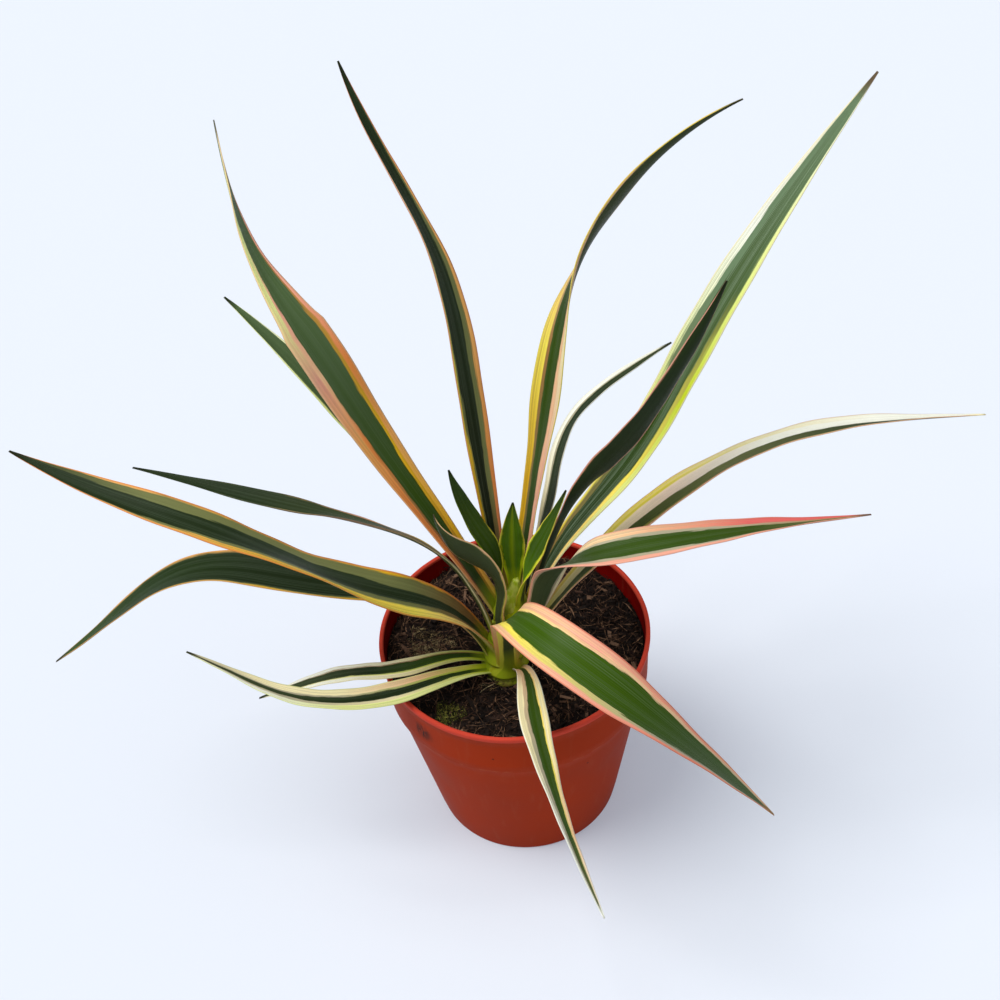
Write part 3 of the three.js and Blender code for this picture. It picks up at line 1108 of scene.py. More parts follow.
@dataclass
class Soil:
    """The peat that fills the pot, with a crumbly top."""

    pot: Pot
    drop: float = SOIL_DROP
    bump: float = 1.1
    swell_size: Pair = (11.0, 13.0)
    ripple_size: Pair = (5.0, 7.0)
    ripple_share: float = 0.3
    clearance: float = 0.4
    rings: int = 60
    sides: int = 200
    crumb: float = 1.1
    coarse_crumbs: float = 0.16
    fine_crumbs: float = 0.7
    tone: float = 0.35
    finish: EarthFinish = EarthFinish("peat", (16, 10, 7), (34, 23, 16), (70, 50, 36))

    @property
    def top(self) -> float:
        """The level of the soil's top."""
        return self.pot.height - self.drop

    def height(self, x: float, y: float) -> float:
        """The height of the soil's swelling top, by the CAD model's formula.

        Args:
            x: the place to the right.
            y: the place to the back.

        Returns:
            The height.
        """
        swell = math.sin(x / self.swell_size[0] + 1) * math.cos(y / self.swell_size[1] - 0.6)
        ripple = math.sin(x / self.ripple_size[0] - y / self.ripple_size[1] + 2)
        share = self.ripple_share
        return self.top + self.bump * ((1 - share) * swell + share * ripple)

    def rough_height(self, x: float, y: float) -> float:
        """The same height with crumbs and little holes.

        Args:
            x: the place to the right.
            y: the place to the back.

        Returns:
            The height.
        """
        place = Vector((x, y, 0))
        coarse = noise.fractal(place * self.coarse_crumbs, 0.9, 2.0, 3)
        fine = noise.fractal(place * self.fine_crumbs, 0.8, 2.0, 3)
        return self.height(x, y) + self.crumb * (0.9 * coarse + 0.7 * fine)

    def radius(self, z: float) -> float:
        """The soil's radius at a height."""
        return self.pot.outside(z) - self.pot.wall - self.clearance

    def disc(self) -> Disc:
        """The whole top."""
        return Disc((0.0, 0.0), self.radius(self.top), 0.0, rings=self.rings, sides=self.sides)

    def build(self) -> None:
        """Builds the soil's body and hands it in."""
        points, faces = self.disc().surface(self.rough_height)
        last = len(points) - self.sides
        faces.append([last + k for k in range(self.sides)])
        low = self.pot.floor + self.clearance
        base = len(points)
        for turn in turns(self.sides):
            points.append([self.radius(low) * math.cos(turn), self.radius(low) * math.sin(turn), low])
        for k in range(self.sides):
            after = (k + 1) % self.sides
            faces.append([k, base + k, base + after, after])
        faces.append([base + k for k in range(self.sides)])
        thing = mesh_object("soil_body", points, faces, self.finish.make())
        set_values(thing.data, "tone", [self.tone] * len(points))
        turn_outwards(thing)
        hand_in(thing, Slot.SOIL, "soil")


class Nodes(Tree):
    """A Geometry Nodes tree under construction, whose random draws take one seed after another."""

    def __init__(self, name: str, seed: int) -> None:
        """Starts a tree with one geometry input and one geometry output.

        Args:
            name: the tree's name.
            seed: the seed of its strewn points, from which its random draws count on.
        """
        super().__init__(bpy.data.node_groups.new(name, "GeometryNodeTree"))
        for way in ("INPUT", "OUTPUT"):
            self.tree.interface.new_socket("Geometry", in_out=way, socket_type="NodeSocketGeometry")
        self.start = self.tree.nodes.new("NodeGroupInput")
        self.end = self.tree.nodes.new("NodeGroupOutput")
        self.names: dict[str, str] = {}
        self.seed = seed

    def size(self, name: str) -> Socket:
        """Adds a named number as an input of the tree.

        Args:
            name: the input's name.

        Returns:
            The socket that carries it.
        """
        kind = "NodeSocketFloat"
        socket = self.tree.interface.new_socket(name, in_out="INPUT", socket_type=kind)
        self.names[name] = socket.identifier
        return self.start.outputs[name]

    def random(self, low: Value, high: Value) -> Socket:
        """Draws a random number for each point.

        Args:
            low: the lowest number.
            high: the highest number.

        Returns:
            The number's socket.
        """
        self.seed += 1
        inputs = {2: low, 3: high, "Seed": self.seed}
        return self.node("FunctionNodeRandomValue", inputs, data_type="FLOAT").outputs[1]

    def place(self) -> Socket:
        """The place of each point."""
        return self.node("GeometryNodeInputPosition", {}).outputs[0]

    def shift(self, geometry: Socket, offset: Value) -> Socket:
        """Moves the geometry's points by an offset."""
        inputs = {"Geometry": geometry, "Offset": offset}
        return self.node("GeometryNodeSetPosition", inputs).outputs[0]


class Shape(Enum):
    """What one scattered bit is: a thin prism, a lump or a flat sliver."""

    FIBRE = "fibre"
    LUMP = "lump"
    SLIVER = "sliver"


@dataclass
class Litter:
    """Bits strewn over the soil by a Geometry Nodes tree.

    Lengths are in millimetres, the tilt is in radians and the density is in bits per square
    metre. Without a disc of their own, the bits lie all over the soil's top.
    """

    name: str
    shape: Shape
    finish: EarthFinish
    seed: int
    density: float
    short: float
    long: float
    thick: float
    tilt: float
    lift: float
    bend: float
    bend_scale: float
    reach: float = 61.6
    tone_power: float = 1.8
    length_power: float = 2.2
    girths: Pair = (0.5, 1.4)
    lump_girths: Pair = (0.6, 1.0)
    fibre_sides: int = 3
    fibre_pieces: int = 5
    fibre_taper: float = 3.4
    sliver: Triple = (1.0, 0.9, 0.35)
    slot: Slot = Slot.SOIL
    disc: Disc | None = None

    def fibre(self, nodes: Nodes) -> Socket:
        """A rod along X that narrows to both its ends.

        Args:
            nodes: the tree.

        Returns:
            The rod, 1 m long and 1 m thick.
        """
        sizes = {
            "Vertices": self.fibre_sides,
            "Side Segments": self.fibre_pieces,
            "Radius": 0.5,
            "Depth": 1.0,
        }
        rod = nodes.node("GeometryNodeMeshCylinder", sizes).outputs[0]
        lying = {"Geometry": rod, "Rotation": (0.0, math.pi / 2, 0.0)}
        turned = nodes.node("GeometryNodeTransform", lying).outputs[0]
        x, y, z = nodes.split(nodes.place())
        gone = nodes.math("MULTIPLY", nodes.math("MULTIPLY", x, x), -self.fibre_taper)
        in_y, in_z = nodes.math("MULTIPLY", y, gone), nodes.math("MULTIPLY", z, gone)
        return nodes.shift(turned, nodes.vector(0.0, in_y, in_z))

    def bit(self, nodes: Nodes) -> Socket:
        """One bit that is 1 m long along X and 1 m thick, to be scaled where it is placed.

        Args:
            nodes: the tree.

        Returns:
            The bit's geometry.
        """
        if self.shape is Shape.FIBRE:
            return self.fibre(nodes)
        if self.shape is Shape.LUMP:
            lump = {"Radius": 0.5, "Subdivisions": 1}
            return nodes.node("GeometryNodeMeshIcoSphere", lump).outputs[0]
        return nodes.node("GeometryNodeMeshCube", {"Size": self.sliver}).outputs[0]

    def strewn(self, nodes: Nodes) -> Socket:
        """Strews points over the surface and sets a bit on each.

        Args:
            nodes: the tree.

        Returns:
            The bits as instances.
        """
        names = ("Density", "Short", "Long", "Thick", "Tilt", "Lift")
        density, short, long, thick, tilt, lift = [nodes.size(name) for name in names]
        drawn = {"Mesh": nodes.start.outputs[0], "Density": density, "Seed": nodes.seed}
        points = nodes.node("GeometryNodeDistributePointsOnFaces", drawn).outputs["Points"]
        raised = nodes.shift(points, nodes.vector(0.0, 0.0, nodes.random(0.0, lift)))
        lean = nodes.math("MULTIPLY", tilt, -1.0)
        lean_x, lean_y = nodes.random(lean, tilt), nodes.random(lean, tilt)
        turn = nodes.vector(lean_x, lean_y, nodes.random(0.0, 2 * math.pi))
        spread = nodes.math("POWER", nodes.random(0.0, 1.0), self.length_power)
        length = nodes.math("MULTIPLY", nodes.math("SUBTRACT", long, short), spread)
        length = nodes.math("ADD", length, short)
        if self.shape is Shape.LUMP:
            girth = nodes.math("MULTIPLY", length, nodes.random(*self.lump_girths))
        else:
            girth = nodes.math("MULTIPLY", thick, nodes.random(*self.girths))
        placed = {
            "Points": raised,
            "Instance": self.bit(nodes),
            "Rotation": turn,
            "Scale": nodes.vector(length, girth, girth),
        }
        return nodes.node("GeometryNodeInstanceOnPoints", placed).outputs[0]

    def bent(self, nodes: Nodes, bits: Socket) -> Socket:
        """Bends the bits by a swirling noise.

        Args:
            nodes: the tree.
            bits: the bits' geometry.

        Returns:
            The bent geometry.
        """
        read = {"Vector": nodes.place(), "Scale": self.bend_scale}
        swirl = nodes.node("ShaderNodeTexNoise", read).outputs["Color"]
        centred = nodes.vector_math("SUBTRACT", swirl, (0.5, 0.5, 0.5))
        return nodes.shift(bits, nodes.vector_math("MULTIPLY", centred, nodes.size("Bend")))

    def held(self, nodes: Nodes, bits: Socket) -> Socket:
        """Pushes every point that would pass through the pot's wall back inside it.

        Args:
            nodes: the tree.
            bits: the bits' geometry.

        Returns:
            The geometry, with no point further out than the reach.
        """
        flat = nodes.vector_math("MULTIPLY", nodes.place(), (1.0, 1.0, 0.0))
        over = nodes.math("DIVIDE", nodes.size("Reach"), nodes.distance(flat))
        over = nodes.math("SUBTRACT", nodes.math("MINIMUM", over, 1.0), 1.0)
        return nodes.shift(bits, nodes.vector_math("MULTIPLY", flat, over))

    def grow(self, material: bpy.types.Material) -> Nodes:
        """Makes the tree: strew the bits, tone, bend and hold them, and give them their finish.

        Args:
            material: the finish.

        Returns:
            The tree.
        """
        nodes = Nodes(f"{self.name}_nodes", self.seed)
        bits = self.strewn(nodes)
        tone = nodes.math("POWER", nodes.random(0.0, 1.0), self.tone_power)
        toned = nodes.node(
            "GeometryNodeStoreNamedAttribute",
            {"Geometry": bits, "Name": "tone", "Value": tone},
            data_type="FLOAT",
            domain="INSTANCE",
        )
        real = nodes.node("GeometryNodeRealizeInstances", {0: toned.outputs[0]}).outputs[0]
        held = self.held(nodes, self.bent(nodes, real))
        dressed = nodes.node("GeometryNodeSetMaterial", {"Geometry": held, "Material": material})
        nodes.tree.links.new(dressed.outputs[0], nodes.end.inputs[0])
        return nodes

    def build(self, soil: Soil) -> None:
        """Strews the bits over the soil and hands them in.

        Args:
            soil: the soil that they lie on.
        """
        material = self.finish.make()
        nodes = self.grow(material)
        surface = (self.disc or soil.disc()).surface(soil.rough_height, self.seed)
        thing = mesh_object(self.name, *surface, material)
        modifier = thing.modifiers.new("strew", "NODES")
        modifier.node_group = nodes.tree
        sizes = {
            "Density": self.density,
            "Short": self.short * MM,
            "Long": self.long * MM,
            "Thick": self.thick * MM,
            "Tilt": self.tilt,
            "Lift": self.lift * MM,
            "Bend": self.bend * MM,
            "Reach": self.reach * MM,
        }
        for name, value in sizes.items():
            modifier[nodes.names[name]] = value
        bake_modifiers(thing)
        hand_in(thing, self.slot)


@dataclass
class Stem:
    """The short leaning stem, above and below the soil."""

    soil_top: float
    foot: Pair = (-6.0, -13.0)
    lean: Pair = (0.16, 0.05)
    foot_radius: float = 10.0
    taper: float = 0.08
    depth: float = 24.0
    shoulder: float = 45.0
    tip: float = 58.0
    tip_radius: float = 1.4
    least_radius: float = 0.84
    sides: int = 64
    rows: int = 60
    swell: float = 0.5
    lumps_around: float = 2.0
    lumps_up: float = 0.22
    finish: StemFinish = field(default_factory=StemFinish)

    def middle(self, up: float) -> Vector:
        """The middle of the stem at a height above the soil.

        Args:
            up: the height above the soil.

        Returns:
            The point in the middle.
        """
        x = self.foot[0] + self.lean[0] * up
        y = self.foot[1] + self.lean[1] * up
        return Vector((x, y, self.soil_top + up))

    def radius(self, up: float) -> float:
        """The stem's radius at a height above the soil.

        Args:
            up: the height above the soil.

        Returns:
            The radius.
        """
        if up <= self.shoulder:
            return self.foot_radius - self.taper * up
        share = (up - self.shoulder) / (self.tip - self.shoulder)
        widest = self.foot_radius - self.taper * self.shoulder
        return widest + (self.tip_radius - widest) * share

    def build(self) -> None:
        """Builds the stem and hands it in."""
        points: list[Vector] = []
        around = self.lumps_around
        for row in range(self.rows + 1):
            up = -self.depth + (self.tip + self.depth) * row / self.rows
            centre = self.middle(up)
            for turn in turns(self.sides):
                way = Vector((math.cos(turn), math.sin(turn), 0))
                lump = noise.noise(Vector((way.x * around, way.y * around, up * self.lumps_up)))
                reach = self.radius(up) - self.swell * 0.5 + self.swell * lump
                points.append(centre + way * max(reach, self.least_radius))
        faces = grid_faces(self.rows + 1, self.sides, True)
        last = self.rows * self.sides
        faces.append(list(range(self.sides))[::-1])
        faces.append([last + k for k in range(self.sides)])
        thing = mesh_object("stem_body", points, faces, self.finish.make())
        turn_outwards(thing)
        hand_in(thing, Slot.STEM, "stem")


@dataclass(frozen=True)
class Blade:
    """How every blade is cut.

    Thicknesses, gaps, drops and waves are in millimetres, and so is the width of the tip. The
    foot's width is a share of the full width, a channel's depth is a share of half the width,
    and the wrap and the lag are angles, in degrees and radians.
    """

    mid_thickness: float = 1.1
    base_thickness: float = 1.7
    edge_thickness: float = 0.4
    foot_width: float = 0.46
    tip_width: float = 0.8
    taper_power: float = 1.4
    foot_channel: float = 0.34
    middle_channel: float = 0.12
    gap: float = 0.9
    steps: int = 120
    strips: int = 14
    sheath_rows: int = 10
    sheath_drop: float = 9.0
    sheath_wrap: float = 62.0
    sheath_gap: float = 0.3
    sheath_lowest: float = -3.0
    sheath_slope: float = 0.5
    fine_wave: float = 0.22
    fine_waves: float = 3.3
    edge_lag: float = 2 * math.pi / 3


@dataclass
class Leaf:
    """One long blade, which starts in a sheath around the stem.

    The turn says where on the stem it starts, and up how far above the soil. Heading, rise and
    roll are in degrees at five even places. The belly is the share of its length where it is
    widest. The wave is the height of its edges' ripples, and waves is their number. The taper
    is 0 where the blade narrows to its tip as most do.
    """

    node: str
    turn: float
    up: float
    length: float
    width: float
    belly: float
    wave: float
    waves: float
    heading: Five
    rise: Five
    roll: Five
    finish: LeafFinish
    taper: float = 0.0
    cut: Blade = Blade()

    def width_share(self, t: float) -> float:
        """The width at a place, as a share of the full width.

        Args:
            t: the share of the blade's length.

        Returns:
            The share of the full width.
        """
        cut = self.cut
        if t < self.belly:
            grown = math.sin(t / self.belly * math.pi / 2) ** 2
            return cut.foot_width + (1 - cut.foot_width) * grown
        gone = ((t - self.belly) / (1 - self.belly)) ** (self.taper or cut.taper_power)
        return 1 - (1 - cut.tip_width / self.width) * gone

    def frame(self, t: float) -> tuple[Vector, Vector, Vector]:
        """The directions of the blade at a place.

        Args:
            t: the share of the blade's length.

        Returns:
            The directions ahead along the blade, across it and out of its upper face.
        """
        heading = math.radians(along(self.heading, t))
        rise = math.radians(along(self.rise, t))
        c, s = math.cos(heading), math.sin(heading)
        ahead = Vector((math.cos(rise) * c, math.cos(rise) * s, math.sin(rise)))
        out = Vector((-math.sin(rise) * c, -math.sin(rise) * s, math.cos(rise)))
        across = Vector((s, -c, 0))
        roll = Matrix.Rotation(math.radians(along(self.roll, t)), 3, ahead)
        return ahead, roll @ across, roll @ out

    def section(self, t: float, middle: Vector) -> tuple[list[Vector], list[Vector]]:
        """The points across the blade at a place.

        Args:
            t: the share of the blade's length.
            middle: the middle of its upper face there.

        Returns:
            The upper points and the under points.
        """
        cut = self.cut
        _, across, out = self.frame(t)
        half = self.width * self.width_share(t) / 2
        channel = along((cut.foot_channel, cut.middle_channel, cut.foot_channel), t)
        thick = along((cut.base_thickness, cut.mid_thickness, cut.edge_thickness), t)
        ripple = self.wave * math.sin(math.pi * t)
        fine = cut.fine_wave * math.sin(math.pi * t)
        upper, under = [], []
        for k in range(cut.strips + 1):
            share = 2 * k / cut.strips - 1
            lag = 0.0 if share > 0 else cut.edge_lag
            wave = ripple * math.sin(2 * math.pi * self.waves * t + lag)
            wave += fine * math.sin(2 * math.pi * cut.fine_waves * self.waves * t + 2 * lag)
            lift = share * share * (channel * half + wave)
            depth = thick + (cut.edge_thickness - thick) * share * share
            point = middle + across * (share * half) + out * lift
            upper.append(point)
            under.append(point - out * depth)
        return upper, under

    def sheath(
        self, q: float, stem: Stem, upper: list[Vector], under: list[Vector]
    ) -> tuple[list[Vector], list[Vector]]:
        """The points of one row of the sheath.

        Args:
            q: the row's place, from -1, low on the stem, to 0, at the blade's foot.
            stem: the stem.
            upper: the upper points of the blade's foot.
            under: the under points of the blade's foot.

        Returns:
            The row's points next to the stem and those away from it.
        """
        cut = self.cut
        up = max(self.up + q * cut.sheath_drop, cut.sheath_lowest)
        centre = stem.middle(up)
        share_in = smooth(1 + q)
        reach = stem.radius(up) + cut.sheath_gap
        ahead = self.frame(0)[0]
        drop = (self.up - up) / max(ahead.z, cut.sheath_slope)
        inner, outer = [], []
        for k, (high, low) in enumerate(zip(upper, under)):
            share = 2 * k / cut.strips - 1
            turn = math.radians(self.turn - share * cut.sheath_wrap)
            way = Vector((math.cos(turn), math.sin(turn), 0))
            depth = cut.edge_thickness + (cut.base_thickness - cut.edge_thickness) * (1 - share**2)
            on_stem = centre + way * reach
            inner.append(on_stem.lerp(high - ahead * drop, share_in))
            outer.append((on_stem + way * depth).lerp(low - ahead * drop, share_in))
        return inner, outer

    def rows(self, stem: Stem) -> list[tuple[float, list[Vector], list[Vector]]]:
        """Every row from the sheath to the tip.

        Args:
            stem: the stem that the leaf grows from.

        Returns:
            Each row's share of the length, its upper points and its under points.
        """
        cut = self.cut
        turn = math.radians(self.turn)
        reach = stem.radius(self.up) + cut.gap
        middle = stem.middle(self.up) + Vector((math.cos(turn), math.sin(turn), 0)) * reach
        first = self.section(0, middle)
        rows = []
        for k in range(cut.sheath_rows):
            q = -1 + k / cut.sheath_rows
            rows.append((q * cut.sheath_drop / self.length, *self.sheath(q, stem, *first)))
        rows.append((0.0, *first))
        step = self.length / cut.steps
        for k in range(1, cut.steps + 1):
            middle = middle + self.frame((k - 0.5) / cut.steps)[0] * step
            rows.append((k / cut.steps, *self.section(k / cut.steps, middle)))
        return rows

    def faces(self, count: int, columns: int) -> list[Face]:
        """The faces that close the blade around its upper and its under points.

        Args:
            count: how many rows it has.
            columns: how many points each row has on one side.

        Returns:
            The faces' point numbers.
        """
        beneath = count * columns
        faces = grid_faces(count, columns, False)
        faces += [face[::-1] for face in grid_faces(count, columns, False, beneath)]
        last = (count - 1) * columns
        for row in range(count - 1):
            for k, turned in ((0, False), (columns - 1, True)):
                here, ahead = row * columns + k, (row + 1) * columns + k
                face = [here, ahead, ahead + beneath, here + beneath]
                faces.append(face[::-1] if turned else face)
        for k in range(columns - 1):
            faces.append([k, k + beneath, k + 1 + beneath, k + 1])
            faces.append([last + k, last + k + 1, last + k + 1 + beneath, last + k + beneath])
        return faces

    def build(self, stem: Stem) -> None:
        """Builds the leaf and hands it in.

        Args:
            stem: the stem that it grows from.
        """
        rows = self.rows(stem)
        columns = self.cut.strips + 1
        points: list[Vector] = []
        blade: list[float] = []
        for side in (1, 2):
            for row in rows:
                points.extend(row[side])
                for k in range(columns):
                    blade.extend((2 * k / self.cut.strips - 1, row[0], side - 1.0))
        name = f"{self.node}_blade"
        thing = mesh_object(name, points, self.faces(len(rows), columns), self.finish.make(name))
        attribute = thing.data.attributes.new("blade", "FLOAT_VECTOR", "POINT")
        attribute.data.foreach_set("vector", blade)
        hand_in(thing, Slot.LEAF, self.node)


@dataclass(frozen=True)
class Light:
    """A soft far light: the way to it, how wide it looks in degrees, and its strength."""

    name: str
    source: Triple
    spread: float
    power: float

    def build(self) -> None:
        """Adds the light, which shines towards the plant."""
        lamp = bpy.data.lights.new(self.name, "SUN")
        lamp.angle = math.radians(self.spread)
        lamp.energy = self.power
        turn = (-Vector(self.source)).to_track_quat("-Z", "Y").to_matrix()
        link(self.name, lamp).matrix_world = turn.to_4x4()


@dataclass
class Studio:
    """The pale floor, the soft lights and the camera."""

    focal: float = 54.0
    sensor: float = 36.0
    pitch: float = 43.73
    roll: float = -5.70
    eye: Triple = (-0.44, -475.19, 656.23)
    nearest: float = 10.0
    floor_half: float = 4000.0
    floor_drop: float = 0.2
    key: Light = Light("key", (-0.52, -0.06, 1.15), 36.0, 2.75)
    fill: Light = Light("fill", (0.15, -0.25, 1.0), 60.0, 0.65)
    sky: Rgb = (232, 242, 255)
    sky_strength: float = 0.28
    view_transform: str = "Standard"

    def camera(self) -> None:
        """Sets the camera at the photograph's view."""
        lens = bpy.data.cameras.new("camera")
        lens.lens = self.focal
        lens.sensor_width = self.sensor
        lens.clip_start = self.nearest * MM
        pitch, roll = math.radians(self.pitch), math.radians(self.roll)
        level = Vector((1, 0, 0))
        ahead = Vector((0, math.cos(pitch), -math.sin(pitch)))
        high = Vector((0, math.sin(pitch), math.cos(pitch)))
        right = level * math.cos(roll) + high * math.sin(roll)
        up = high * math.cos(roll) - level * math.sin(roll)
        turn = Matrix((right, up, -ahead)).transposed().to_4x4()
        eye = link("camera", lens)
        eye.matrix_world = Matrix.Translation(Vector(self.eye) * MM) @ turn
        bpy.context.scene.camera = eye

    def build(self) -> None:
        """Builds the floor, the lights, the sky and the camera."""
        half, low = self.floor_half, -self.floor_drop
        points = [[-half, -half, low], [half, -half, low], [half, half, low], [-half, half, low]]
        floor = mesh_object("floor", points, [[0, 1, 2, 3]], FloorFinish().make())
        world = bpy.data.worlds.new("sky")
        world.use_nodes = True
        background = world.node_tree.nodes["Background"]
        background.inputs["Color"].default_value = linear(self.sky)
        background.inputs["Strength"].default_value = self.sky_strength
        bpy.context.scene.world = world
        bpy.context.scene.view_settings.view_transform = self.view_transform
        self.key.build()
        self.fill.build()
        self.camera()


# A short name for the tables of tones.
T = Tone

